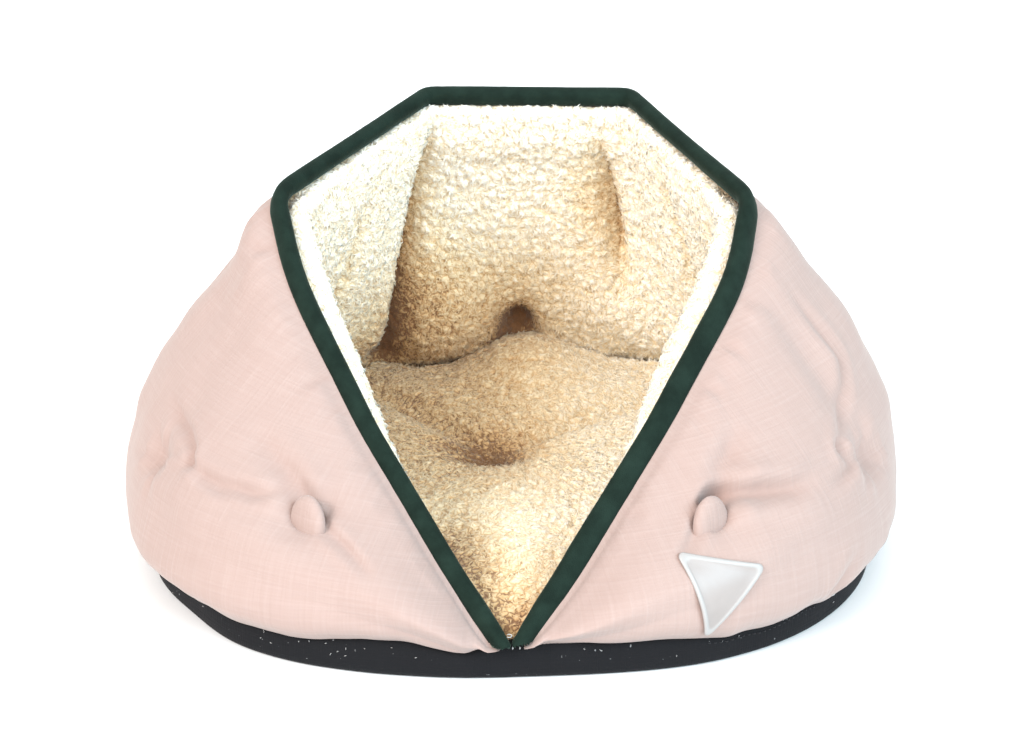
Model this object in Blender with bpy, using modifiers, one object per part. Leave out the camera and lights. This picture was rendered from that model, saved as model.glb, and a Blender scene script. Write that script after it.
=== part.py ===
"""Padded pet cave: a round, button-tufted bed whose wall leans in over a V-shaped mouth.

Metres, +Z up. The cave rests on z = 0, its mouth faces -Y and its base is centred on the origin.
The wall, its lining and the binding are all worked out from one base outline, one rim and one
wall section, so they fit each other all the way round. An azimuth is in degrees: 0 is the mouth
(-Y) and 90 is +X.
"""
import bisect
import math

import bmesh
import bpy
from mathutils import Matrix, Vector
from mathutils.geometry import intersect_point_line

# ---------------------------------------------------------------- driving dimensions (metres)
BASE_HALF_WIDTH = 0.234
BASE_HALF_DEPTH = 0.2285
BASE_SQUARENESS = 2.35       # 2 is an ellipse, more is squarer
BASE_HEIGHT = 0.0195
BASE_EDGE_ROUNDING = 0.004
BASE_SIDES = 64

GAP = 0.0005                 # between pieces that touch
BINDING_CLEARANCE = 0.0014
BINDING_RADIUS = 0.0057
BINDING_SEGMENTS = 110
LINING_THICKNESS = 0.009     # thinner where the wall is low
EDGE_OUTSIDE = 0.0058        # how far the wall's face stands out where the binding holds it
EDGE_INSIDE = -0.0020        # the lining fills the rest of that edge
FULL_PUFF_LENGTH = 0.060     # a wall this high holds two thirds of its full puff
SEAM_LEVEL_LENGTH = 0.12     # up to this station the wall's faces turn level to the base
BACK_HALF_TURN = 75.0        # the part of the wall that counts as its back

TUFT_HEIGHT = 0.087          # the row of tufts above the floor
TUFT_DROP = 0.012            # how far the straight line lies below the outer face at the row
HIGHEST_TUFT_STATION = 0.62
TUFT_RADIUS = 0.018
CREASE_HALF_WIDTH = 0.012
ARC_RADIUS = 0.215           # turns an azimuth difference into a length along the row

BUTTON_RADIUS = 0.0147
BUTTON_THICKNESS = 0.0085
BUTTON_LIFT = 0.0074
BUTTON_FACING = 42.0         # azimuth, further round than the wall it is sunk in
BUTTON_UPTURN = 12.0
SEAT_EDGE = 0.010            # how softly the cloth leaves the flat seat behind a button

CUSHION_CLEARANCE = 0.0025
CUSHION_REACH_HEIGHT = 0.060 # the cushion stays inside the lining up to here
CUSHION_CROWN = 0.053
CUSHION_EDGE_DROP = 0.013
CUSHION_SIDES = 48
CUSHION_RINGS = (0.975, 0.91, 0.82, 0.72, 0.62, 0.52, 0.42, 0.33, 0.24, 0.16, 0.08)
CUSHION_TUFT = Vector((-0.013, 0.006, 0.0))
CUSHION_TUFT_DEPTH = 0.017
CUSHION_TUFT_RADIUS = 0.030

TAG_SIDE = 0.0565
TAG_THICKNESS = 0.0022
TAG_CORNER = 0.005
TAG_CORNER_REACH = TAG_CORNER * math.sqrt(3.0) / TAG_SIDE
TAG_SIDE_STEPS = 5
TAG_RINGS = (1.0, 0.75, 0.5, 0.25)
TAG_AZIMUTH = 28.3
TAG_HEIGHT = 0.0380
TAG_LEAN = -13.0
TAG_LIFT = 0.0034

# The rim: corners of the binding's centre line, from the right of the V round to its left.
#    x        y       z      rounding
RIM = (
    (0.0052, -0.2315, 0.0248, 0.0),      # right end, on the base
    (0.0385, -0.199, 0.0615, 0.300),
    (0.0920, -0.141, 0.1235, 0.300),
    (0.1400, -0.067, 0.1925, 0.300),
    (0.1530, -0.020, 0.2275, 0.026),     # right corner
    (0.0785, 0.100, 0.2635, 0.011),      # back, right
    (-0.0565, 0.100, 0.2645, 0.011),     # back, left
    (-0.1480, -0.020, 0.2325, 0.026),    # left corner
    (-0.1340, -0.067, 0.1925, 0.300),
    (-0.0865, -0.141, 0.1235, 0.300),
    (-0.0380, -0.199, 0.0615, 0.300),
    (-0.0068, -0.2315, 0.0248, 0.0),     # left end, on the base
)

# The wall's section: how far each face stands off the straight line from base to rim.
#    station  outside  inside
SECTION = (
    (0.00, 0.0060, 0.0120),
    (0.06, 0.0150, 0.0190),
    (0.15, 0.0235, 0.0230),
    (0.30, 0.0315, 0.0255),
    (0.45, 0.0290, 0.0245),
    (0.60, 0.0235, 0.0230),
    (0.75, 0.0170, 0.0205),
    (0.88, 0.0115, 0.0165),
    (0.96, 0.0060, 0.0095),
    (1.00, 0.0000, 0.0000),
)
# Beside the binding the fleece stands up in a lip, lower along the back.
#    rise   stand-off
LINING_LIP = (
    (0.0000, 0.0150),
    (0.0050, 0.0110),
    (0.0000, 0.0000),
)
BACK_LIP = 0.35              # of the lip's size
STATIONS_BELOW_TUFTS = (0.0, 0.14, 0.34, 0.57, 0.76, 0.88)
STATIONS_ABOVE_TUFTS = (0.08, 0.18, 0.32, 0.50, 0.70, 0.86, 0.95, 1.0)
FLEECE_STATIONS_ABOVE_TUFTS = (0.08, 0.18, 0.32, 0.50, 0.70, 0.85)
HIDDEN_STATIONS_BELOW = (0.0, 0.34, 0.70)
HIDDEN_STATIONS_ABOVE = (0.18, 0.50, 0.86, 1.0)

# The tufts, from the left of the mouth round the back to its right. The first and the last hold
# a button, and the others are plain pinches. Every pull is a depth: of the tuft outside and
# inside, of the crease that runs up from it outside and inside, and of the crease that runs on
# to the next tuft.
#   azimuth   tuft out, in    crease up out, in    along
TUFTS = (
    (-32.5, 0.014, 0.012, 0.004, 0.003, 0.012),
    (-64.0, 0.018, 0.014, 0.008, 0.006, 0.009),
    (-92.0, 0.018, 0.014, 0.007, 0.006, 0.008),
    (-121.0, 0.018, 0.014, 0.007, 0.006, 0.008),
    (-150.5, 0.018, 0.018, 0.007, 0.019, 0.008),
    (-180.0, 0.018, 0.022, 0.007, 0.004, 0.008),
    (150.5, 0.018, 0.016, 0.007, 0.012, 0.008),
    (121.0, 0.018, 0.014, 0.007, 0.006, 0.008),
    (95.0, 0.016, 0.014, 0.007, 0.006, 0.003),
    (65.0, 0.018, 0.014, 0.013, 0.006, 0.012),
    (32.0, 0.014, 0.012, 0.005, 0.003, 0.000),
)
BETWEEN_TUFTS = (0.13, 0.29, 0.43, 0.57, 0.71, 0.87)
FRONT_AZIMUTHS = (3.6, 5.4, 8.0, 11.0, 15.0, 19.5, 24.0, 28.3)   # on each side of the mouth

# Where each face of the wall is fuller or flatter than its section.
#   azimuth  station  half turn  half length  amount
OUTER_SWELLS = (
    (-84.0, 0.80, 16.0, 0.14, -0.0075),
    (-56.0, 0.05, 16.0, 0.12, 0.0030),
    (-82.0, 0.00, 16.0, 0.08, -0.0050),
    (-17.0, 0.50, 9.0, 0.30, 0.0060),
    (17.0, 0.50, 9.0, 0.30, 0.0050),
    (84.0, 0.42, 14.0, 0.14, 0.0020),
    (84.0, 0.62, 14.0, 0.12, 0.0045),
    (-112.0, 0.90, 24.0, 0.12, 0.0040),
    (-48.0, 0.55, 12.0, 0.25, 0.0035),
    (48.0, 0.55, 12.0, 0.25, 0.0030),
)
INNER_SWELLS = (
    (180.0, 0.90, 75.0, 0.16, -0.0080),
    (-166.0, 0.34, 9.0, 0.16, 0.0080),
    (-128.0, 0.62, 14.0, 0.28, 0.0100),
    (128.0, 0.60, 14.0, 0.28, 0.0060),
)

# Where the base is fuller or flatter than its outline.
#   azimuth  half turn  amount
BASE_SWELLS = (
    (-42.0, 22.0, 0.0055),
    (11.0, 13.0, -0.0030),
)

# The cushion's creases run from its tuft to these azimuths; its lobes lie around the tuft.
#   azimuth  depth  half width
CUSHION_CREASES = (
    (-143.0, 0.012, 0.014),
    (131.0, 0.012, 0.014),
)
#    x       y     radius  height
CUSHION_LOBES = (
    (0.005, -0.085, 0.080, 0.0050),
    (0.012, 0.140, 0.050, 0.0170),
)

# ---------------------------------------------------------------- colours (linear RGB)
BLUSH_LINEN = (0.80, 0.60, 0.54)
BOTTLE_GREEN = (0.012, 0.035, 0.022)
CREAM_FLEECE = (0.86, 0.78, 0.64)
BLACK_CLOTH = (0.016, 0.016, 0.019)
PALE_RUBBER = (0.78, 0.76, 0.75)


# ---------------------------------------------------------------- small helpers
def bell(distance, width):
    """1 at no distance, falling softly to nothing."""
    return math.exp(-(distance / width) ** 2)


def read_table(rows, column, x):
    """Smooth reading of one column of a table whose first column rises."""
    keys = [row[0] for row in rows]
    i = min(max(bisect.bisect_right(keys, x) - 1, 0), len(rows) - 2)
    x0, x1 = keys[i], keys[i + 1]
    y0, y1 = rows[i][column], rows[i + 1][column]
    before = rows[max(i - 1, 0)]
    after = rows[min(i + 2, len(rows) - 1)]
    slope0 = (y1 - before[column]) / (x1 - before[0])
    slope1 = (after[column] - y0) / (after[0] - x0)
    width = x1 - x0
    t = (x - x0) / width
    return ((2 * t**3 - 3 * t**2 + 1) * y0 + (t**3 - 2 * t**2 + t) * width * slope0
            + (3 * t**2 - 2 * t**3) * y1 + (t**3 - t**2) * width * slope1)


def direction(azimuth):
    a = math.radians(azimuth)
    return Vector((math.sin(a), -math.cos(a), 0.0))


def azimuth_of(point):
    return math.degrees(math.atan2(point.x, -point.y))


def turn_between(a, b):
    """Signed difference of two azimuths, in -180 to 180."""
    return (a - b + 180.0) % 360.0 - 180.0


def base_radius(azimuth):
    d = direction(azimuth)
    total = (abs(d.x) / BASE_HALF_WIDTH) ** BASE_SQUARENESS
    total += (abs(d.y) / BASE_HALF_DEPTH) ** BASE_SQUARENESS
    radius = total ** (-1.0 / BASE_SQUARENESS)
    for middle, half_turn, amount in BASE_SWELLS:
        radius += amount * bell(turn_between(azimuth, middle), half_turn)
    return radius


# ---------------------------------------------------------------- the rim
def round_corner(before, corner, after, radius, steps):
    """Points of the arc that rounds one corner of a line in space."""
    if radius == 0.0:
        return [corner]
    u = (before - corner).normalized()
    w = (after - corner).normalized()
    half = 0.5 * u.angle(w)
    cut = radius / math.tan(half)
    cut = min(cut, 0.49 * (before - corner).length, 0.49 * (after - corner).length)
    radius = cut * math.tan(half)
    centre = corner + (u + w).normalized() * (radius / math.sin(half))
    start = corner + u * cut - centre
    end = corner + w * cut - centre
    sweep = start.angle(end)
    points = []
    for i in range(steps + 1):
        t = i / steps
        a = math.sin((1.0 - t) * sweep) / math.sin(sweep)
        b = math.sin(t * sweep) / math.sin(sweep)
        points.append(centre + start * a + end * b)
    return points


def rim_curve():
    """The rim as a line of evenly spaced points."""
    corners = [Vector(row[:3]) for row in RIM]
    dense = []
    for i, row in enumerate(RIM):
        following = corners[(i + 1) % len(corners)]
        dense += round_corner(corners[i - 1], corners[i], following, row[3], 12)
    lengths = [0.0]
    for a, b in zip(dense, dense[1:]):
        lengths.append(lengths[-1] + (b - a).length)
    points = []
    for i in range(BINDING_SEGMENTS + 1):
        s = lengths[-1] * i / BINDING_SEGMENTS
        j = min(bisect.bisect_right(lengths, s) - 1, len(dense) - 2)
        t = (s - lengths[j]) / (lengths[j + 1] - lengths[j])
        points.append(dense[j].lerp(dense[j + 1], t))
    return points


RIM_POINTS = rim_curve()


def rim_at(azimuth):
    """Where the rim crosses an azimuth."""
    for a, b in zip(RIM_POINTS, RIM_POINTS[1:]):
        before = turn_between(azimuth_of(a), azimuth)
        after = turn_between(azimuth_of(b), azimuth)
        if before <= 0.0 < after and after - before < 90.0:
            return a.lerp(b, -before / (after - before))
    raise ValueError("the rim doesn't cross azimuth %.1f" % azimuth)


def clears_binding(point):
    for a, b in zip(RIM_POINTS, RIM_POINTS[1:]):
        part = intersect_point_line(point, a, b)[1]
        nearest = a.lerp(b, min(max(part, 0.0), 1.0))
        if (point - nearest).length < BINDING_RADIUS + BINDING_CLEARANCE:
            return False
    return True


# ---------------------------------------------------------------- the wall
class WallChord:
    """The straight line from the base's seam to the rim in one upright plane."""

    def __init__(self, azimuth):
        self.azimuth = azimuth
        self.level = direction(azimuth)
        rim = rim_at(azimuth)
        self.seam = self.level * base_radius(azimuth) + Vector((0.0, 0.0, BASE_HEIGHT + GAP))
        self.rise = (rim - self.seam).normalized()
        self.outward = (self.level - self.rise * self.level.dot(self.rise)).normalized()
        self.puff = 1.0 - math.exp(-(rim - self.seam).length / FULL_PUFF_LENGTH)
        self.fleece = LINING_THICKNESS * math.sqrt(self.puff)
        edges = (EDGE_OUTSIDE, -EDGE_INSIDE, -EDGE_INSIDE - GAP - self.fleece)
        drop = BINDING_RADIUS
        self.top = rim
        while not all(clears_binding(self.point(1.0, edge)) for edge in edges):
            drop += GAP
            self.top = rim - self.rise * drop
        self.length = (self.top - self.seam).length
        row = (TUFT_HEIGHT - TUFT_DROP - self.seam.z) / (self.top.z - self.seam.z)
        self.row = min(row, HIGHEST_TUFT_STATION)

    def way(self, station):
        """Out of the wall: level at the seam, square to the line from base to rim above it."""
        level = max(1.0 - self.puff, bell(station, SEAM_LEVEL_LENGTH))
        return self.outward.lerp(self.level, level).normalized()

    def point(self, station, offset):
        place = self.seam.lerp(self.top, station) + self.way(station) * offset
        place.z = max(place.z, self.seam.z)
        return place


def way_from_tuft(chord, station, tuft):
    """How far along the wall and how far up it a place lies from a tuft."""
    across = math.radians(turn_between(chord.azimuth, tuft[0])) * ARC_RADIUS
    return across, chord.length * (station - chord.row)


def pull_at(chord, station, inside):
    """How far the tufts and creases pull the outer or the inner face in."""
    middle, crease = (2, 4) if inside else (1, 3)
    above = (station - chord.row) / (1.0 - chord.row)
    pull = 0.0
    for i, tuft in enumerate(TUFTS):
        across, up = way_from_tuft(chord, station, tuft)
        pull = max(pull, tuft[middle] * bell(math.hypot(across, up), TUFT_RADIUS))
        if above > 0.0:
            pull = max(pull, tuft[crease] * (1.0 - above**3) * bell(across, CREASE_HALF_WIDTH))
        following = TUFTS[(i + 1) % len(TUFTS)]
        span = turn_between(following[0], tuft[0])
        if 0.0 <= turn_between(chord.azimuth, tuft[0]) / span <= 1.0:
            pull = max(pull, tuft[5] * bell(up, CREASE_HALF_WIDTH))
    return pull


def swell_at(chord, station, swells):
    total = 0.0
    for azimuth, middle, half_turn, half_length, amount in swells:
        near = bell(turn_between(chord.azimuth, azimuth), half_turn)
        total += amount * near * bell(station - middle, half_length)
    return total * min(1.0, (1.0 - station) / 0.15)


def unpulled_offset(chord, station):
    puffed = EDGE_OUTSIDE + chord.puff * read_table(SECTION, 1, station)
    return puffed + swell_at(chord, station, OUTER_SWELLS)


def button_seat(tuft):
    """Where a button's back lies, and the way it faces."""
    chord = WallChord(tuft[0])
    facing = direction(math.copysign(BUTTON_FACING, tuft[0]))
    upturn = math.radians(BUTTON_UPTURN)
    out = facing * math.cos(upturn) + Vector((0.0, 0.0, math.sin(upturn)))
    return chord.point(chord.row, unpulled_offset(chord, chord.row) - tuft[1]), out


def outside_offset(chord, station):
    """The wall's outer face, pulled in by the tufts and lying flat behind each button."""
    offset = unpulled_offset(chord, station) - chord.puff * pull_at(chord, station, False)
    for tuft, (seat, out) in zip(BUTTON_TUFTS, BUTTON_SEATS):
        away = math.hypot(*way_from_tuft(chord, station, tuft)) - BUTTON_RADIUS
        if away < BUTTON_RADIUS * 2.0:
            behind = (seat - chord.point(station, offset)).dot(out) / chord.way(station).dot(out)
            offset += behind * bell(max(away, 0.0), SEAT_EDGE)
    return offset


BUTTON_TUFTS = (TUFTS[0], TUFTS[-1])
BUTTON_SEATS = [button_seat(tuft) for tuft in BUTTON_TUFTS]


def inside_offset(chord, station):
    """The wall's inner face, which the lining lies on."""
    puffed = EDGE_INSIDE + chord.puff * read_table(SECTION, 2, station)
    puffed += swell_at(chord, station, INNER_SWELLS)
    return chord.puff * pull_at(chord, station, True) - puffed


def stations(chord, below, above):
    lower = [chord.row * part for part in below]
    upper = [chord.row + (1.0 - chord.row) * part for part in above]
    return lower + [chord.row] + upper


def section_azimuths():
    """Upright planes through the wall, from the right of the mouth round the back to its left."""
    azimuths = list(FRONT_AZIMUTHS)
    tufts = [tuft[0] for tuft in reversed(TUFTS)]
    for a, b in zip(tufts, tufts[1:]):
        azimuths.append(a)
        azimuths += [a + turn_between(b, a) * part for part in BETWEEN_TUFTS]
    azimuths.append(tufts[-1])
    return azimuths + [-azimuth for azimuth in reversed(FRONT_AZIMUTHS)]


def wall_section(chord):
    outer = [chord.point(s, outside_offset(chord, s))
             for s in stations(chord, STATIONS_BELOW_TUFTS, STATIONS_ABOVE_TUFTS)]
    inner = [chord.point(s, inside_offset(chord, s))
             for s in stations(chord, HIDDEN_STATIONS_BELOW, HIDDEN_STATIONS_ABOVE)]
    return outer + inner[::-1]


def fleece_face(chord, station):
    return chord.point(station, inside_offset(chord, station) - GAP - chord.fleece)


def lining_section(chord):
    back = [chord.point(s, inside_offset(chord, s) - GAP)
            for s in stations(chord, HIDDEN_STATIONS_BELOW, HIDDEN_STATIONS_ABOVE)]
    face = [fleece_face(chord, s)
            for s in stations(chord, STATIONS_BELOW_TUFTS, FLEECE_STATIONS_ABOVE_TUFTS)]
    behind = bell(turn_between(chord.azimuth, 180.0), BACK_HALF_TURN)
    size = chord.puff * (1.0 - (1.0 - BACK_LIP) * behind)
    edge = inside_offset(chord, 1.0) - GAP - chord.fleece
    lip = [chord.point(1.0, edge - off * size) + chord.rise * (rise * size)
           for rise, off in LINING_LIP]
    return back[::-1] + face + lip


# ---------------------------------------------------------------- making objects
def clear_scene():
    for obj in list(bpy.data.objects):
        bpy.data.objects.remove(obj, do_unlink=True)


def make_material(name, colour, roughness):
    material = bpy.data.materials.new(name)
    material.use_nodes = True
    shader = material.node_tree.nodes["Principled BSDF"]
    shader.inputs["Base Color"].default_value = (*colour, 1.0)
    shader.inputs["Roughness"].default_value = roughness
    shader.inputs["Metallic"].default_value = 0.0
    material.diffuse_color = (*colour, 1.0)
    return material


def add_object(name, data, material, collection):
    data.materials.append(material)
    obj = bpy.data.objects.new(name, data)
    collection.objects.link(obj)
    return obj


def mesh_from(bm, name):
    bm.normal_update()
    bmesh.ops.triangulate(bm, faces=bm.faces, quad_method="FIXED")
    bmesh.ops.recalc_face_normals(bm, faces=bm.faces)
    mesh = bpy.data.meshes.new(name)
    bm.to_mesh(mesh)
    bm.free()
    mesh.shade_smooth()
    return mesh


def join_loops(bm, a, b):
    """Faces between two closed loops with the same number of points."""
    for i in range(len(a)):
        j = (i + 1) % len(a)
        bm.faces.new((a[i], a[j], b[j], b[i]))


def loft(name, sections):
    """A solid through closed sections, with a flat face at each end."""
    bm = bmesh.new()
    loops = [[bm.verts.new(point) for point in section] for section in sections]
    for a, b in zip(loops, loops[1:]):
        join_loops(bm, a, b)
    bm.faces.new(loops[0])
    bm.faces.new(loops[-1])
    return mesh_from(bm, name)


# ---------------------------------------------------------------- sub-parts
def make_base(collection, material):
    """The flat black underside and the low band that rises from it."""
    bm = bmesh.new()
    outline = []
    for i in range(BASE_SIDES):
        azimuth = 360.0 * i / BASE_SIDES
        outline.append(bm.verts.new(direction(azimuth) * base_radius(azimuth)))
    face = bm.faces.new(outline)
    raised = bmesh.ops.extrude_face_region(bm, geom=[face])["geom"]
    top = [item for item in raised if isinstance(item, bmesh.types.BMVert)]
    bmesh.ops.translate(bm, verts=top, vec=(0.0, 0.0, BASE_HEIGHT))
    rims = [edge for edge in bm.edges if edge.verts[0].co.z == edge.verts[1].co.z]
    bmesh.ops.bevel(bm, geom=rims, offset=BASE_EDGE_ROUNDING, segments=2, profile=0.5,
                    affect="EDGES")
    return add_object("base", mesh_from(bm, "base"), material, collection)


def make_wall(collection, material, chords):
    """The stuffed linen wall, open at the mouth."""
    mesh = loft("wall", [wall_section(chord) for chord in chords])
    return add_object("wall", mesh, material, collection)


def make_lining(collection, material, chords):
    """The fleece that covers the wall's inner face."""
    mesh = loft("lining", [lining_section(chord) for chord in chords])
    return add_object("lining", mesh, material, collection)


def make_binding(collection, material):
    """The velvet strip that wraps the edge of the mouth, from base to base."""
    curve = bpy.data.curves.new("binding", "CURVE")
    curve.dimensions = "3D"
    curve.bevel_depth = BINDING_RADIUS
    curve.bevel_resolution = 2
    curve.use_fill_caps = True
    spline = curve.splines.new("POLY")
    spline.points.add(len(RIM_POINTS) - 1)
    for target, point in zip(spline.points, RIM_POINTS):
        target.co = (*point, 1.0)
    return add_object("binding", curve, material, collection)


def cushion_radius(azimuth):
    """As wide as the lining leaves free below the cushion's crown."""
    nearest = min(FRONT_AZIMUTHS)
    if abs(azimuth) < nearest:
        azimuth = math.copysign(nearest, azimuth)
    chord = WallChord(azimuth)
    faces = [fleece_face(chord, i / 30.0) for i in range(31)]
    free = [face.xy.length for face in faces if face.z < CUSHION_REACH_HEIGHT]
    return min(free) - CUSHION_CLEARANCE


def cushion_top(place, part):
    """Height of the cushion's top: a crown with lobes, one tuft and its creases."""
    height = CUSHION_CROWN - CUSHION_EDGE_DROP * part**4
    for x, y, radius, lobe in CUSHION_LOBES:
        height += lobe * bell(math.hypot(place.x - x, place.y - y), radius)
    arm = place - CUSHION_TUFT
    pull = CUSHION_TUFT_DEPTH * bell(arm.length, CUSHION_TUFT_RADIUS)
    for azimuth, depth, half_width in CUSHION_CREASES:
        along = arm.dot(direction(azimuth))
        if along > 0.0:
            across = arm.cross(direction(azimuth)).length
            pull = max(pull, depth * (1.0 - 0.5 * part) * bell(across, half_width))
    return height - pull


def make_cushion(collection, material):
    """The fleece floor pad, tufted in the middle and flat underneath."""
    bottom = BASE_HEIGHT + GAP
    azimuths = [360.0 * (i + 0.5) / CUSHION_SIDES for i in range(CUSHION_SIDES)]
    radii = [cushion_radius(turn_between(azimuth, 0.0)) for azimuth in azimuths]
    bm = bmesh.new()

    def ring(part, height=None):
        verts = []
        for azimuth, radius in zip(azimuths, radii):
            place = direction(azimuth) * (radius * part)
            z = cushion_top(place, part) if height is None else height
            verts.append(bm.verts.new((place.x, place.y, z)))
        return verts

    rings = [ring(0.93, bottom), ring(0.985, bottom + 0.006), ring(1.0, bottom + 0.013)]
    rings += [ring(part) for part in CUSHION_RINGS]
    for a, b in zip(rings, rings[1:]):
        join_loops(bm, a, b)
    bm.faces.new(rings[0])
    bm.faces.new(rings[-1])
    return add_object("cushion", mesh_from(bm, "cushion"), material, collection)


def surface_frame(azimuth, station):
    """The ways across, up and out of the wall's face, with no button or crease in it."""
    def place(a, s):
        chord = WallChord(a)
        return chord.point(s, unpulled_offset(chord, s))

    across = (place(azimuth + 1.0, station) - place(azimuth - 1.0, station)).normalized()
    slope = place(azimuth, station + 0.02) - place(azimuth, station - 0.02)
    out = across.cross(slope).normalized()
    return across, out.cross(across), out


def turn_of(across, up, out):
    return Matrix((across, up, out)).transposed().to_4x4()


def make_buttons(collection, material):
    """The two cloth-covered buttons beside the mouth; they share a mesh."""
    bm = bmesh.new()
    bmesh.ops.create_uvsphere(bm, u_segments=16, v_segments=8, radius=BUTTON_RADIUS)
    flatten = BUTTON_THICKNESS / (2.0 * BUTTON_RADIUS)
    bmesh.ops.scale(bm, verts=bm.verts, vec=(1.0, 1.0, flatten))
    mesh = mesh_from(bm, "button")
    mesh.materials.append(material)
    for name, (seat, out) in zip(("button_left", "button_right"), BUTTON_SEATS):
        across = Vector((0.0, 0.0, 1.0)).cross(out).normalized()
        place = Matrix.Translation(seat + out * BUTTON_LIFT)
        button = bpy.data.objects.new(name, mesh)
        button.matrix_world = place @ turn_of(across, out.cross(across), out)
        collection.objects.link(button)


def tag_outline():
    """A triangle with rounded corners, point down, around its own middle."""
    reach = TAG_SIDE / math.sqrt(3.0)
    corners = []
    for angle in (180.0, 60.0, -60.0):
        a = math.radians(angle)
        corners.append(Vector((reach * math.sin(a), reach * math.cos(a), 0.0)))
    outline = []
    for i, corner in enumerate(corners):
        following = corners[(i + 1) % 3]
        outline += round_corner(corners[i - 1], corner, following, TAG_CORNER, 3)
        outline += [corner.lerp(following, TAG_CORNER_REACH + (1.0 - 2.0 * TAG_CORNER_REACH) * step
                                / TAG_SIDE_STEPS) for step in range(1, TAG_SIDE_STEPS)]
    return outline


def make_tag(collection, material, wall):
    """A thin rubber triangle that lies on the wall, below the right-hand button."""
    bm = bmesh.new()
    outline = tag_outline()
    rings = [[bm.verts.new(point * scale) for point in outline] for scale in TAG_RINGS]
    for a, b in zip(rings, rings[1:]):
        join_loops(bm, a, b)
    bm.faces.new(rings[-1])
    tag = add_object("tag", mesh_from(bm, "tag"), material, collection)
    chord = WallChord(TAG_AZIMUTH)
    station = (TAG_HEIGHT - chord.seam.z) / (chord.top.z - chord.seam.z)
    _, _, out = surface_frame(TAG_AZIMUTH, station)
    level = Vector((0.0, 0.0, 1.0)).cross(out).normalized()
    lean = Matrix.Rotation(math.radians(TAG_LEAN), 4, "Z")
    middle = chord.point(station, unpulled_offset(chord, station)) + out * BUTTON_THICKNESS
    tag.matrix_world = Matrix.Translation(middle) @ turn_of(level, out.cross(level), out) @ lean
    lie = tag.modifiers.new("lie on the wall", "SHRINKWRAP")
    lie.target = wall
    lie.wrap_method = "PROJECT"
    lie.wrap_mode = "ABOVE_SURFACE"
    lie.use_project_z = True
    lie.use_negative_direction = True
    lie.use_positive_direction = True
    lie.offset = TAG_LIFT
    solid = tag.modifiers.new("thickness", "SOLIDIFY")
    solid.thickness = TAG_THICKNESS
    solid.offset = 1.0
    return tag


def main():
    clear_scene()
    collection = bpy.data.collections.new("pet_cave")
    bpy.context.scene.collection.children.link(collection)
    linen = make_material("blush_linen", BLUSH_LINEN, 0.85)
    velvet = make_material("green_velvet", BOTTLE_GREEN, 0.75)
    fleece = make_material("cream_fleece", CREAM_FLEECE, 0.95)
    floor_fleece = make_material("cream_fleece_floor", CREAM_FLEECE, 0.95)
    black = make_material("black_cloth", BLACK_CLOTH, 0.85)
    covered = make_material("button_linen", BLUSH_LINEN, 0.85)
    rubber = make_material("pale_rubber", PALE_RUBBER, 0.45)
    chords = [WallChord(azimuth) for azimuth in section_azimuths()]
    make_base(collection, black)
    wall = make_wall(collection, linen, chords)
    make_lining(collection, fleece, chords)
    make_binding(collection, velvet)
    make_cushion(collection, floor_fleece)
    make_buttons(collection, covered)
    make_tag(collection, rubber, wall)


main()
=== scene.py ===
"""The looks of the padded pet cave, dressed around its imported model.

Metres, +Z up, the mouth toward -Y. The wall's faces are worked out from a base outline, a rim and a
wall section, as the solids are, on finer grids that also carry the small folds. Azimuths are in
degrees: 0 is the mouth and 90 is +X. A station runs up the wall from 0 at the base to 1 at the rim.
"""

import math

import bmesh
import bpy
import numpy as np
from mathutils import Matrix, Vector
from mathutils.bvhtree import BVHTree


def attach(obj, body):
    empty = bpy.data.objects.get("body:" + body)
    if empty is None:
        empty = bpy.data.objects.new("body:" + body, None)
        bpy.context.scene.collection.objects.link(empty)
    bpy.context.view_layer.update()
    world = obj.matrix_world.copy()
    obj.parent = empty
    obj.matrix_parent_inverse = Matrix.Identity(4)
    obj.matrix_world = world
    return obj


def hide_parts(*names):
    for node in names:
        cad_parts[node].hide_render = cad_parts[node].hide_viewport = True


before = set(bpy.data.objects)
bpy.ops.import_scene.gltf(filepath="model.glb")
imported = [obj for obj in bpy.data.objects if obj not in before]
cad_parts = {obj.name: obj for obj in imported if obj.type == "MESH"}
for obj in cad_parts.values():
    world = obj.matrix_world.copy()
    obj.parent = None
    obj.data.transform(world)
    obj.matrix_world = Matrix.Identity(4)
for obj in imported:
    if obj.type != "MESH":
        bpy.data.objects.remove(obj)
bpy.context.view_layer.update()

# ------------------------------------------------------------- main dimensions (metres)
# As in the solids, except the rim's right side, the tag, the buttons' upturn and seats, two tufts of
# the inner wall and the hollow at its top, which are set a little closer to the look here.
BASE_HALF_WIDTH = 0.234
BASE_HALF_DEPTH = 0.2285
BASE_SQUARENESS = 2.35
BASE_HEIGHT = 0.0195
GAP = 0.0005
BINDING_CLEARANCE = 0.0014
BINDING_RADIUS = 0.0057
LINING_THICKNESS = 0.009
EDGE_OUTSIDE = 0.0058
EDGE_INSIDE = -0.0020
FULL_PUFF_LENGTH = 0.060
SEAM_LEVEL_LENGTH = 0.12
TUFT_HEIGHT = 0.087
TUFT_DROP = 0.012
HIGHEST_TUFT_STATION = 0.62
TUFT_RADIUS = 0.018
CREASE_HALF_WIDTH = 0.012
ARC_RADIUS = 0.215
BUTTON_RADIUS = 0.0147
BUTTON_LIFT = 0.0074
BUTTON_STAND = 0.0030
BUTTON_SHIFT = (0.0030, 0.0008)     # toward the mouth, down
BUTTON_WIDE = 0.92
BUTTON_TALL = 1.19
BUTTON_EGG = 0.03
BUTTON_FACING = 42.0
BUTTON_UPTURN = 6.0
SEAT_INSET = 0.0075
SEAT_EDGE = 0.0019
CUSHION_CLEARANCE = 0.0025
CUSHION_REACH_HEIGHT = 0.060
CUSHION_CROWN = 0.053
CUSHION_EDGE_DROP = 0.013
CUSHION_TUFT = np.array((-0.013, 0.006))
CUSHION_TUFT_DEPTH = 0.017
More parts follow.
